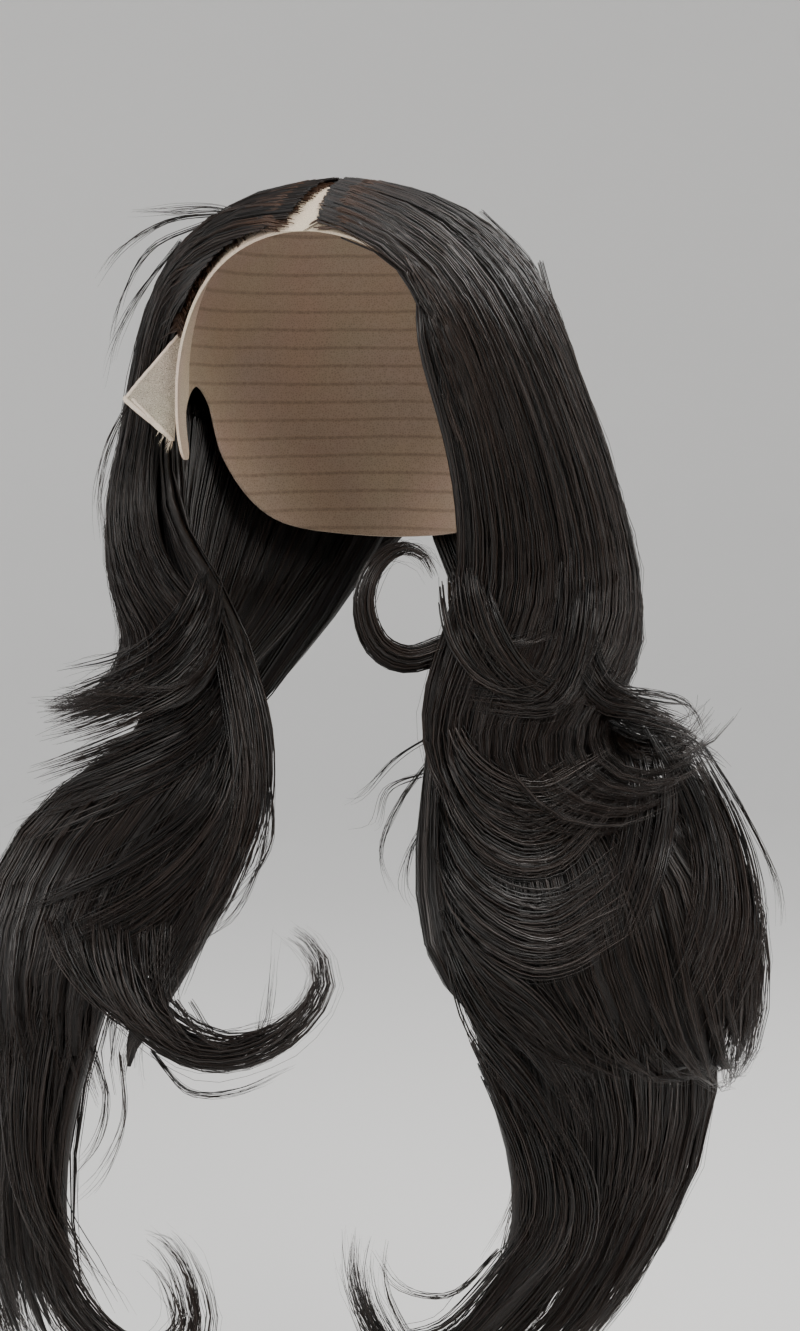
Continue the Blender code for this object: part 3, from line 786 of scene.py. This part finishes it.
def make_cap():
    """Cuts the face opening out of the dome, and the lace and its parting strip out of the cap"""
    tools = []
    head_form = ellipsoid("head_form", 0)
    below = [(110, -400), (-300, -400), (-300, -22)]
    edge = [tuple(row) for row in smooth_path(CAP_EDGE[1:-1], EDGE_STEPS * len(CAP_EDGE[1:-1]))]
    face_opening = prism("face_opening", [CAP_EDGE[0]] + edge + [CAP_EDGE[-1]] + below,
                         CUT_HALF_WIDTH)
    front_edge = CAP_EDGE[1:6]
    room = [(-34, -240), (-200, -240), (-200, 60)]
    half = PARTING_WIDTH / 2
    bands = []
    for grow, name in ((0, "band"), (GAP, "band_room")):
        back = moved_edge(front_edge, LACE_BAND_DEPTH + grow)
        band = prism(name, [(back[0][0], 60)] + back + room, CUT_HALF_WIDTH + grow)
        strip = box("strip", (-half - grow, -90 - grow, -60 - grow),
                    (half + grow, PARTING_BACK + grow, 20 + grow))
        cut(band, strip, "UNION")
        tools += [band, strip]
        bands.append(band)
    cap = ellipsoid("wig_cap_net", CAP_WALL)
    cut(cap, head_form)
    cut(cap, face_opening)
    lace = linked("lace_front_net", cap.data.copy())
    cut(lace, bands[0], "INTERSECT")
    cut(cap, bands[1])
    finish_dome(cap, NET)
    finish_dome(lace, LACE)
    for tool in tools + [head_form, face_opening]:
        bpy.data.objects.remove(tool, do_unlink=True)
    dressed(cap, "wig_cap")
    dressed(lace, "lace_front")


make_cap()


# Layers of hair: dark fused locks under the strands, and clumps of strands over them
def layer_frames(rows, side, count, points, parting):
    """Lanes of a layer: path, sideways and outward directions, and the lane's width"""
    found = []
    for k in range(count):
        u = (k + 0.5) / count
        h = 0.5 / count
        mid = fall(rows, u, side, points, parting)
        a = fall(rows, u - h, side, points, parting)
        b = fall(rows, u + h, side, points, parting)
        sides, outs = frames_along(mid, b - a)
        room = np.abs(np.einsum("ij,ij->i", b - a, sides))
        found.append((mid, sides, outs, room))
    return found


def under_mass(name, layers):
    """Dark pointed locks, one to a lane, that end short of the layer's tip by turns"""
    locks = []
    for rows, side, count, points, parting, thickness in layers:
        for lane, (mid, s, o, room) in enumerate(layer_frames(rows, side, count, points, parting)):
            reach = 0.94 - 0.04 * (lane * 7 % 4)
            keep = slice(1 if parting else 0, int(points * reach))
            v = np.linspace(0, 1, points)[keep]
            mid, s, o, room = mid[keep], s[keep], o[keep], room[keep]
            start = np.interp(v, [0, 0.12], [0.3, 1]) if parting else 1.0
            narrow, thin = (np.interp(v, [0, 0.6, reach - 0.1, reach], [1, 1, *tip])
                            for tip in ((0.85, 0.06), (0.45, 0.08)))
            w = np.clip(room * 1.3, 6, 46) * start * narrow
            th = table_at(thickness, v) * (0.5 if parting else 0.66) * thin * start
            locks.append((mid, s, o, w, th))
    return lock_mesh(name, *zip(*locks), around=10, mat=UNDER)


CLUMP_WANDER = 6.0
CLUMP_WIDTH = 0.6
RISE_TOP, RISE_LOWER = 0.38, 0.34  # shares of the layer's thickness
INNER_GUIDES, INNER_POINTS = 22, 14


def clumps(rows, side, count, points, parting, thickness, seed, face=1):
    """Guides of a layer, one to a lane, on its outer face or, with face -1, its inner one"""
    rng = np.random.default_rng(seed)
    v = np.linspace(0, 1, points)
    guides = []
    tip = np.clip((v - 0.5) / 0.5, 0, 1)
    for mid, s, o, room in layer_frames(rows, side, count, points, parting):
        th = table_at(thickness, v)
        w = np.clip(room, 3, 24) * CLUMP_WIDTH * (1 - 0.62 * tip**1.6)
        drift = s * (rng.normal() * CLUMP_WANDER) + o * (rng.normal() * CLUMP_WANDER * 0.6)
        drift = drift * (tip**1.8)[:, None]
        bend = rng.normal() * 1.2 * np.sin(v * rng.uniform(8, 13) + rng.uniform(0, 6)) * v
        share = RISE_TOP if parting else RISE_LOWER
        rise = face * (th * share + rng.uniform(-0.3, 0.7) * (0.6 + 2.2 * v))
        if parting:
            rise = rise * np.interp(v, [0, 0.08], [0.3, 1])
        path = mid + drift + s * bend[:, None] + o * rise[:, None]
        half = 0.5 + 1.7 * np.sqrt(v)
        guides.append((path, s * w[:, None], o * half[:, None]))
    return guides


for who, sgn, top, middle, long_ in (("right", -1, TOP_RIGHT, MIDDLE_RIGHT, LONG_RIGHT),
                                     ("left", 1, TOP_LEFT, MIDDLE_LEFT, LONG_LEFT)):
    node = "hair_" + who
    mass = under_mass("hair_mass_" + who, [
        # rows, side, lanes, points, from the parting, thickness
        (top, sgn, 24, 36, True, TOP_THICKNESS),
        (middle, sgn, 13, 28, False, LOWER_THICKNESS),
        (long_, sgn, 16, 28, False, LOWER_THICKNESS),
    ])
    dressed(mass, node)
    extra = 0 if sgn < 0 else 50
    for kind, rows, parting, thickness, count, points, strays, seed in (
            # layer, rows, from the parting, thickness, guides, points, strays to a guide, seed
            ("top", top, True, TOP_THICKNESS, 52, 27, 4, 11),
            ("middle", middle, False, LOWER_THICKNESS, 32, 18, 3, 21),
            ("long", long_, False, LOWER_THICKNESS, 30, 16, 3, 31)):
        seed += extra
        name = "_%s_%s" % (kind, who)
        guides = clumps(rows, sgn, count, points, parting, thickness, seed)
        strands("strands" + name, node, guides, HAIR, "layer", seed)
        strands("stray" + name, node, guides, HAIR, "layer_stray", seed + STRAY_STEP, strays)
        if not parting:
            inner = clumps(rows, sgn, INNER_GUIDES, INNER_POINTS, False, thickness, seed + 3, face=-1)
            strands("inner" + name, node, inner, HAIR, "inside", seed + 4)


# Single curls
CORE_SHARE = 0.74
CURL_GUIDES = 11


def curl(name, table, count, strand_count, seed, loosen):
    """A short dark core, and strands round it that open towards the tip"""
    path = smooth_path(table, count)
    points = path[:, :3]
    normal = np.zeros(3)
    for i in range(1, count - 1):
        normal += np.cross(points[i] - points[i - 1], points[i + 1] - points[i])
    normal = unit(normal)
    tangents = [heading(points, i) for i in range(count)]
    sides = [None] * count
    start = count * 2 // 3
    sides[start] = np.cross(tangents[start], normal)
    for i in list(range(start + 1, count)) + list(range(start - 1, -1, -1)):
        s = sides[i - 1] if i > start else sides[i + 1]
        sides[i] = unit(s - tangents[i] * (s @ tangents[i]))
    sides = np.array(sides)
    outs = np.cross(np.array(tangents), sides)
    slim = np.interp(np.linspace(0, 1, count), [0, 0.18, 0.5, CORE_SHARE], [0.12, 0.55, 0.5, 0.14])
    kept = slice(int(count * CORE_SHARE))
    core = lock_mesh(name + "_core", [points[kept]], [sides[kept]], [outs[kept]],
                     [(path[:, 3] * slim)[kept]], [(path[:, 4] * slim)[kept]], around=12, mat=UNDER)
    dressed(core, name)
    rng = np.random.default_rng(seed)
    guides = []
    v = np.linspace(0, 1, count)[:, None]
    for k in range(CURL_GUIDES):
        a = rng.uniform(0, 2 * pi)
        r = 0.8 * np.sqrt(rng.uniform(0, 1))
        shift = sides * (path[:, 3:4] / 2 * r * cos(a)) + outs * (path[:, 4:5] / 2 * r * sin(a))
        shift = shift * np.interp(v, [0, 0.2], [0.35, 1])
        loose = (sides * rng.normal() + outs * rng.normal() * 0.6) * loosen * v**2.2
        guides.append((points + shift + loose, sides * path[:, 3:4] * 0.26, outs * path[:, 4:5] * 0.26))
    strands("strands_" + name, name, guides, HAIR, "curl", seed, strand_count)
    strands("stray_" + name, name, guides, HAIR, "curl_stray", seed + STRAY_STEP)


curl("cheek_curl", CHEEK_CURL, 26, 12, 101, 1.3)
curl("chest_curl", CHEST_CURL, 28, 20, 102, 3.4)
curl("end_curl_right", END_CURL_RIGHT, 24, 12, 103, 5.0)
curl("end_curl_left", END_CURL_LEFT, 24, 12, 104, 5.0)


# Locks laid over the layers: each is drawn in the photograph's frame, in its pixels, and put
# on the hair that the camera sees there
def surface_of(*names):
    verts, polys = [], []
    for name in names:
        mesh = bpy.data.objects[name].data
        base = len(verts)
        verts += [v.co / MM for v in mesh.vertices]
        polys += [tuple(base + i for i in p.vertices) for p in mesh.polygons]
    return BVHTree.FromPolygons(verts, polys)


SURFACE = surface_of("hair_mass_right", "hair_mass_left", "cheek_curl_core", "chest_curl_core",
                     "end_curl_right_core", "end_curl_left_core")


def sight(x, y):
    """Direction from the camera through a pixel of the photograph"""
    right, up = x - FRAME_WIDTH / 2, FRAME_HEIGHT / 2 - y
    return RIGHT * right * PIXEL / DISTANCE + UP * up * PIXEL / DISTANCE - BACK


LAID_POINTS = 16
FAN_LOOSE = 6.0  # pixels


def laid(points, lift, depth_at=None):
    """A lock's path through pixels, just in front of the hair seen there"""
    count = LAID_POINTS
    q = smooth_path(points, count)
    depth = np.full(count, np.nan)
    for i in range(count):
        d = sight(q[i, 0], q[i, 1])
        hit = SURFACE.ray_cast(Vector(EYE), Vector(d).normalized())
        if hit[0] is not None:
            depth[i] = (np.array(hit[0]) - EYE) @ -BACK
    known = np.flatnonzero(~np.isnan(depth))
    if depth_at is not None or not len(known):
        depth[:] = DISTANCE - (depth_at or 0)
    else:
        depth = np.interp(np.arange(count), known, depth[known])
    near = np.array([depth[max(i - 1, 0):i + 2].min() for i in range(count)])
    for _ in range(6):
        near[1:-1] = 0.25 * near[:-2] + 0.5 * near[1:-1] + 0.25 * near[2:]
    lifts = (lift + 1.6) * np.interp(np.linspace(0, 1, count), [0, 0.16, 1], [-0.7, 1, 1])
    return np.array([EYE + sight(x, y) * (z - k) for (x, y), z, k in zip(q, near, lifts)])


def facing(path, wide, deep):
    """A guide whose width faces the camera"""
    across_it = units(np.cross(np.gradient(path, axis=0), -BACK))
    return path, across_it * wide, np.tile(BACK, (len(path), 1)) * deep


def fan(first, last, count, lift, rng, spread):
    """Guides from one drawn curve to another, each a little off on its own towards the tip"""
    first, last = np.array(first, float), np.array(last, float)
    n = len(first)
    guides = []
    for k in range(count):
        f = (k + rng.uniform(0.1, 0.9)) / count
        curve = first * (1 - f) + last * f
        curve = curve + rng.normal(size=2) * FAN_LOOSE * (np.linspace(0, 1, n) ** 1.5)[:, None]
        dense = smooth_path(curve, 60)
        curve = dense[np.linspace(rng.integers(0, 16), 59, 6).astype(int)]
        path = laid(curve, lift + rng.uniform(-0.6, 1.6))
        v = np.linspace(0, 1, LAID_POINTS)
        wide = spread * np.interp(v, [0, 0.25, 0.8, 1], [0.5, 1, 0.8, 0.35])
        deep = np.interp(v, [0, 0.2, 1], [0.5, 1.6, 1.0])
        guides.append(facing(path, wide[:, None], deep[:, None]))
    return guides


FANS_RIGHT = [
    # from, to, guides, lift, spread
    ([(205, 540), (175, 620), (120, 662), (58, 680)],
     [(232, 600), (205, 672), (130, 716), (30, 748)], 17, 2.0, 6),
    ([(232, 620), (205, 690), (120, 735), (28, 770)],
     [(245, 650), (215, 740), (130, 790), (14, 830)], 13, 2.5, 5),
    ([(240, 660), (215, 780), (130, 850), (8, 905)],
     [(248, 680), (235, 820), (160, 920), (30, 985)], 10, 2.0, 6),
    ([(226, 600), (256, 700), (262, 800), (206, 935)],
     [(205, 590), (232, 720), (236, 810), (180, 950)], 8, 3.0, 6),
    ([(236, 760), (215, 860), (165, 950), (120, 1035)],
     [(262, 790), (238, 870), (196, 940), (172, 1010)], 7, 2.5, 5),
    ([(40, 900), (62, 960), (104, 1010), (168, 1046)],
     [(176, 900), (168, 960), (172, 1010), (204, 1048)], 12, 2.5, 6),
    ([(14, 930), (10, 1040), (24, 1180), (90, 1320)],
     [(70, 985), (52, 1090), (50, 1200), (120, 1325)], 10, 2.0, 6),
]
FANS_LEFT = [
    ([(436, 560), (448, 640), (488, 690), (556, 712)],
     [(482, 520), (500, 620), (540, 680), (604, 702)], 10, 2.5, 5),
    ([(604, 520), (594, 640), (560, 712), (452, 706)],
     [(560, 520), (556, 630), (530, 684), (446, 676)], 9, 3.0, 4),
    ([(590, 600), (604, 672), (640, 696), (684, 714)],
     [(560, 650), (590, 706), (640, 716), (686, 732)], 12, 2.5, 5),
    ([(444, 690), (470, 752), (530, 782), (612, 740)],
     [(440, 770), (476, 852), (545, 880), (622, 812)], 15, 3.0, 6),
    ([(438, 780), (474, 866), (548, 894), (628, 836)],
     [(430, 880), (462, 935), (544, 980), (640, 930)], 13, 2.5, 6),
    ([(600, 712), (628, 770), (620, 850), (598, 930)],
     [(650, 716), (676, 790), (664, 880), (634, 960)], 8, 3.0, 6),
    ([(596, 690), (640, 714), (680, 724), (702, 744)],
     [(604, 742), (650, 754), (690, 764), (718, 790)], 12, 0.5, 6),
    ([(630, 712), (680, 800), (696, 900), (656, 1010)],
     [(682, 712), (736, 826), (757, 940), (710, 1060)], 21, 1.5, 6),
    ([(694, 880), (708, 970), (712, 1030), (700, 1084)],
     [(738, 880), (744, 970), (734, 1030), (712, 1084)], 9, 0.5, 5),
    ([(428, 870), (470, 940), (545, 1000), (606, 1090)],
     [(452, 950), (480, 1040), (530, 1110), (572, 1190)], 13, 2.5, 6),
    ([(560, 950), (592, 1040), (614, 1140), (600, 1230)],
     [(680, 990), (672, 1080), (656, 1170), (610, 1260)], 9, 2.5, 7),
    ([(478, 1060), (520, 1150), (528, 1220), (462, 1306)],
     [(560, 1120), (590, 1200), (580, 1260), (520, 1325)], 9, 2.5, 6),
]
for who, families, seed in (("right", FANS_RIGHT, 201), ("left", FANS_LEFT, 301)):
    rng = np.random.default_rng(seed)
    guides = []
    for first, last, count, lift, spread in families:
        guides += fan(first, last, count, lift, rng, spread)
    strands("strands_laid_" + who, "hair_" + who, guides, HAIR, "laid", seed)
    strands("stray_laid_" + who, "hair_" + who, guides, HAIR, "laid_stray", seed + STRAY_STEP)


# Roots: fine hairs that rise from the lace at the hairline and the parting
ROOT_LINE = [
    # back, up: the front edge of the lace from temple to parting
    (-38, -68),
    (-42, -56),
    (-46, -44),
    (-52, -32),
    (-60, -22),
]
ROOT_GUIDES = 64


def on_top(x, y):
    """Direction, as on a round head, of a place on top of the head"""
    up = np.sqrt(max(1 - (x / SEMI[0]) ** 2 - (y / SEMI[1]) ** 2, 0)) * SEMI[2]
    return np.array([x, y, up]) / SEMI


def head_at(back, up, side, lift):
    y, z = back / SEMI[1], (up - CENTRE[2]) / SEMI[2]
    x = side * np.sqrt(max(1 - y * y - z * z, 0.0))
    return over_head(np.array([x, y, z]), lift)


def hairline_guides(side, count, rng):
    """Guides that rise from the lace and run back over the top layer"""
    rows = TOP_LEFT if side > 0 else TOP_RIGHT
    share = HAIRLINE_SHARE_LEFT if side > 0 else HAIRLINE_SHARE_RIGHT
    guides = []
    for k in range(count):
        h = (k + rng.uniform(0.1, 0.9)) / count
        if h < 0.5:
            back, up = line_at(ROOT_LINE, h / 0.5)
            inset = rng.uniform(-0.5, 2.5)
            root = head_at(back + inset, up + inset * 0.4, side, 0.3)
            early = head_at(back + inset + 6, up + 3.5, side, rng.uniform(2.0, 3.6))
            u = 0.02 + ROOT_SHARE * share * (h / 0.5)
        else:
            g = (h - 0.5) / 0.5
            back = -60 + 84 * g
            gap = np.interp(back, [-60, -34, 25], [5.0, 1.6, 0.6]) + rng.uniform(-0.6, 1.4)
            root = over_head(on_top(side * gap, back), 0.3)
            early = over_head(on_top(side * (gap + 7), back + 1), 3.4)
            u = ROOT_SHARE * (share + (1 - share) * g)
        whole = fall(rows, min(u + rng.uniform(-0.01, 0.05), 1), side, 60, True)
        reach = rng.integers(7, 11)
        after = [whole[i] + unit(whole[i] - CENTRE) * lift
                 for i, lift in ((reach, 3.6), (reach + 5, 4.0), (reach + 11, 3.8), (reach + 18, 1.5))]
        path = smooth_path([root, early] + after, 16)
        t = np.gradient(path, axis=0)
        out = path - CENTRE
        guides.append((path, units(np.cross(t, out)) * 2.4, units(out) * 0.6))
    return guides


for who, side, seed in (("right", -1, 401), ("left", 1, 402)):
    rng = np.random.default_rng(seed)
    guides = hairline_guides(side, ROOT_GUIDES, rng)
    strands("strands_hairline_" + who, "hair_" + who, guides, ROOTS, "hairline", seed)
    strands("roots_" + who, "hair_" + who, guides, ROOTS, "root", seed + STRAY_STEP)

# Flyaways and wisps: hairs that have left their lock
LOOSE_RIGHT = [
    # pixels, lift towards the camera or depth before the head's axis, strands, spread
    ([(250, 214), (210, 207), (170, 209), (128, 212)], 25, 5, 2.0),
    ([(240, 210), (200, 213), (168, 214), (145, 218)], 25, 4, 2.0),
    ([(232, 212), (165, 222), (120, 252), (92, 290)], 22, 6, 2.4),
    ([(210, 222), (150, 250), (122, 300), (112, 346)], 10, 5, 3.0),
    ([(182, 240), (140, 296), (114, 350), (106, 396)], 5, 6, 4.0),
    ([(150, 370), (112, 440), (98, 500), (104, 560)], 0, 6, 4.0),
    ([(270, 790), (262, 860), (232, 920), (186, 950)], None, 5, 3.0),
    ([(268, 760), (272, 840), (250, 880), (206, 930)], None, 5, 4.0),
    ([(92, 1045), (106, 1100), (92, 1150), (62, 1188)], 60, 6, 2.5),
    ([(120, 1052), (124, 1120), (104, 1170), (70, 1205)], 60, 5, 4.0),
    ([(150, 1050), (190, 1092), (240, 1092), (296, 1066)], None, 7, 3.0),
    ([(176, 1000), (205, 1040), (248, 1052), (268, 986)], None, 7, 2.0),
    ([(190, 1000), (220, 1040), (262, 1036), (280, 930)], None, 5, 4.0),
    ([(198, 1325), (192, 1280), (165, 1240), (132, 1236)], None, 7, 6.0),
]
LOOSE_LEFT = [
    ([(432, 736), (396, 760), (360, 800), (340, 806)], 40, 4, 3.0),
    ([(436, 752), (400, 800), (380, 850), (394, 892)], 40, 6, 5.0),
    ([(434, 770), (388, 790), (372, 830), (352, 836)], 40, 4, 5.0),
    ([(440, 800), (410, 850), (404, 890), (420, 920)], 40, 6, 5.0),
    ([(470, 1040), (505, 1120), (514, 1190), (480, 1262)], None, 8, 3.0),
    ([(500, 1250), (450, 1296), (400, 1288), (366, 1240)], None, 7, 4.0),
    ([(450, 600), (492, 650), (520, 668), (556, 676)], None, 9, 5.0),
    ([(470, 610), (500, 640), (530, 640), (566, 622)], None, 7, 5.0),
    ([(540, 260), (566, 350), (604, 440), (628, 540)], 0, 6, 4.0),
    ([(480, 210), (536, 270), (556, 350), (590, 430)], 10, 5, 3.0),
    ([(626, 690), (660, 694), (690, 706), (706, 740)], None, 8, 4.0),
    ([(700, 740), (744, 810), (780, 890), (784, 950)], None, 8, 4.0),
]
for who, table, seed in (("right", LOOSE_RIGHT, 501), ("left", LOOSE_LEFT, 502)):
    rng = np.random.default_rng(seed)
    guides = []
    for points, depth, count, spread in table:
        for _ in range(count):
            curve = np.array(points, float)
            off = (np.linspace(0, 1, len(curve)) ** 1.2)[:, None]
            curve = curve + rng.normal(size=2) * spread * off
            path = laid(curve, 3.0, depth)
            guides.append(facing(path, 1.4, 1.0))
    strands("flyaways_" + who, "hair_" + who, guides, HAIR, "flyaway", seed)

# Ear tabs: thin folded lace with a doubled hem, creased and a little frayed at the foot
TAB_TOP = (-70.0, -24.0, -63.0)
TAB_TIP = (-95.5, -31.0, -94.0)
TAB_FOOT = (-74.0, -25.0, -113.0)
TAB_SMALL = 0.62
TAB_LOBE = 0.62  # share of the edge, from the top, at which the tab is widest
TAB_ROWS, TAB_COLUMNS = 40, 18
HEM_POINTS = 26
THREADS = 9


def ear_tab(node, mirror, size, seed):
    """One tab: the lace, its rolled hem and a few loose threads at the foot"""
    rng = np.random.default_rng(seed)
    top, tip, foot = (np.array(p) for p in (TAB_TOP, TAB_TIP, TAB_FOOT))
    root = (top + foot) / 2
    top, tip, foot = (root + (p - root) * size for p in (top, tip, foot))
    flat = unit(np.cross(tip - top, foot - top))
    flip = np.array([mirror, 1, 1])

    def at(f, g, lift=0.0):
        edge = top + (foot - top) * f
        lobe = min(f / TAB_LOBE, 1) if f < TAB_LOBE else (1 - f) / (1 - TAB_LOBE)
        end = edge + (tip - (top + (foot - top) * TAB_LOBE)) * max(lobe, 0.05)
        crease = 0.8 * sin(g * 5 + f * 21) * g * lobe + 0.55 * sin(f * 47 + g * 3) ** 3 * lobe
        bend = flat * (2.5 * sin(pi * f) * g + crease * size + lift)
        return (edge + (end - edge) * g + bend) * flip

    rows, columns = TAB_ROWS, TAB_COLUMNS
    verts, faces = [], []
    for face_side in (0.25, -0.25):
        for i in range(rows + 1):
            for j in range(columns + 1):
                verts.append(at(i / rows, j / columns, face_side))
    count = (rows + 1) * (columns + 1)
    for i in range(rows):
        for j in range(columns):
            a = i * (columns + 1) + j
            b = a + columns + 1
            faces.append((a, a + 1, b + 1, b))
            faces.append((count + a, count + b, count + b + 1, count + a + 1))
    rim = ([(i, 0) for i in range(rows)] + [(rows, j) for j in range(columns)]
           + [(i, columns) for i in range(rows, 0, -1)] + [(0, j) for j in range(columns, 0, -1)])
    rim = [i * (columns + 1) + j for i, j in rim]
    for a, b in zip(rim, rim[1:] + rim[:1]):
        faces.append((a, b, count + b, count + a))
    tab = mesh_object(node + "_lace", verts, faces, FOLD)
    faces_out(tab)
    dressed(tab, node)

    # hem: two rolled edges from tip to foot, one from top to tip
    lines = []
    for f0, f1, g in ((0.60, 1.0, 1.0), (0.62, 0.985, 0.86), (0.02, 0.62, 1.0)):
        fs = np.linspace(f0, f1, HEM_POINTS)
        lines.append(np.array([at(f, g) for f in fs]) + rng.normal(size=(HEM_POINTS, 3)) * 0.06)
    sides, outs = [], []
    for line in lines:
        t = np.gradient(line, axis=0)
        outs.append(np.tile(flat * flip, (HEM_POINTS, 1)))
        sides.append(units(np.cross(t, outs[-1])))
    widths = [np.full(HEM_POINTS, w) * (0.55 + 0.45 * size) for w in (2.3, 1.7, 1.5)]
    hem = lock_mesh(node + "_hem", lines, sides, outs, widths, [w * 0.7 for w in widths],
                    around=8, mat=HEM, seed=seed)
    dressed(hem, node)

    guides = []
    for _ in range(THREADS):
        start = at(rng.uniform(0.86, 1.0), rng.uniform(0.4, 1.0))
        away = np.array([mirror * rng.uniform(-1, 0.4), rng.uniform(-0.6, 0.2), -rng.uniform(0.6, 1.4)])
        line = np.array([start + away * 4.2 * size * t + np.array([0, 0, -1.4]) * t * t
                         for t in np.linspace(0, 1, 6)])
        guides.append((line, np.tile([0.15, 0, 0], (6, 1)), np.tile([0, 0.15, 0], (6, 1))))
    threads = strands(node + "_threads", node, guides, HEM, "thread", seed)


ear_tab("ear_tab_right", 1, 1.0, 601)
ear_tab("ear_tab_left", -1, TAB_SMALL, 602)

# Stage and light
pale, graph, shader = new_material("studio_paper")
graph.feed(shader["Base Color"], (0.80, 0.795, 0.785, 1))
graph.feed(shader["Roughness"], 0.9)
PAPER_PROFILE = [(4, -640), (1900, -640), (2500, -610), (2950, -500), (3250, -290), (3420, 0),
                 (3480, 400), (3500, 2400)]
PAPER_SIDES = 72
verts, faces = [], []
for radius, up in PAPER_PROFILE:
    verts += [(radius * cos(2 * pi * k / PAPER_SIDES), radius * sin(2 * pi * k / PAPER_SIDES), up)
              for k in range(PAPER_SIDES)]
for row in range(len(PAPER_PROFILE) - 1):
    for k in range(PAPER_SIDES):
        a, b = row * PAPER_SIDES + k, row * PAPER_SIDES + (k + 1) % PAPER_SIDES
        faces.append((a, b, b + PAPER_SIDES, a + PAPER_SIDES))
faces.append(tuple(reversed(range(PAPER_SIDES))))
paper = mesh_object("studio_paper", verts, faces, pale)

world = bpy.data.worlds.new("studio")
bpy.context.scene.world = world
world.use_nodes = True
sky = world.node_tree.nodes["Background"].inputs
sky["Color"].default_value = (0.85, 0.87, 0.90, 1)
sky["Strength"].default_value = 0.62


def lamp(name, where, aim, size, power, colour=(1, 1, 1)):
    data = bpy.data.lights.new(name, "AREA")
    data.size = size
    data.energy = power
    data.color = colour
    ob = linked(name, data)
    ob.location = where
    ob.rotation_euler = (Vector(aim) - Vector(where)).to_track_quat("-Z", "Y").to_euler()


# name, where, aim, size, power, colour
lamp("key", (1.2, -1.3, 1.1), (0, 0, -0.2), 0.8, 26, (1, 0.97, 0.93))
lamp("fill", (-1.5, -1.6, 0.3), (0, 0, -0.3), 0.9, 24, (1, 0.98, 0.96))
lamp("top", (0.42, 0.28, 1.25), (0.03, -0.02, -0.1), 0.6, 22, (1, 0.98, 0.95))
lamp("rim", (0.9, 1.1, 0.9), (0, 0, -0.2), 0.8, 9)
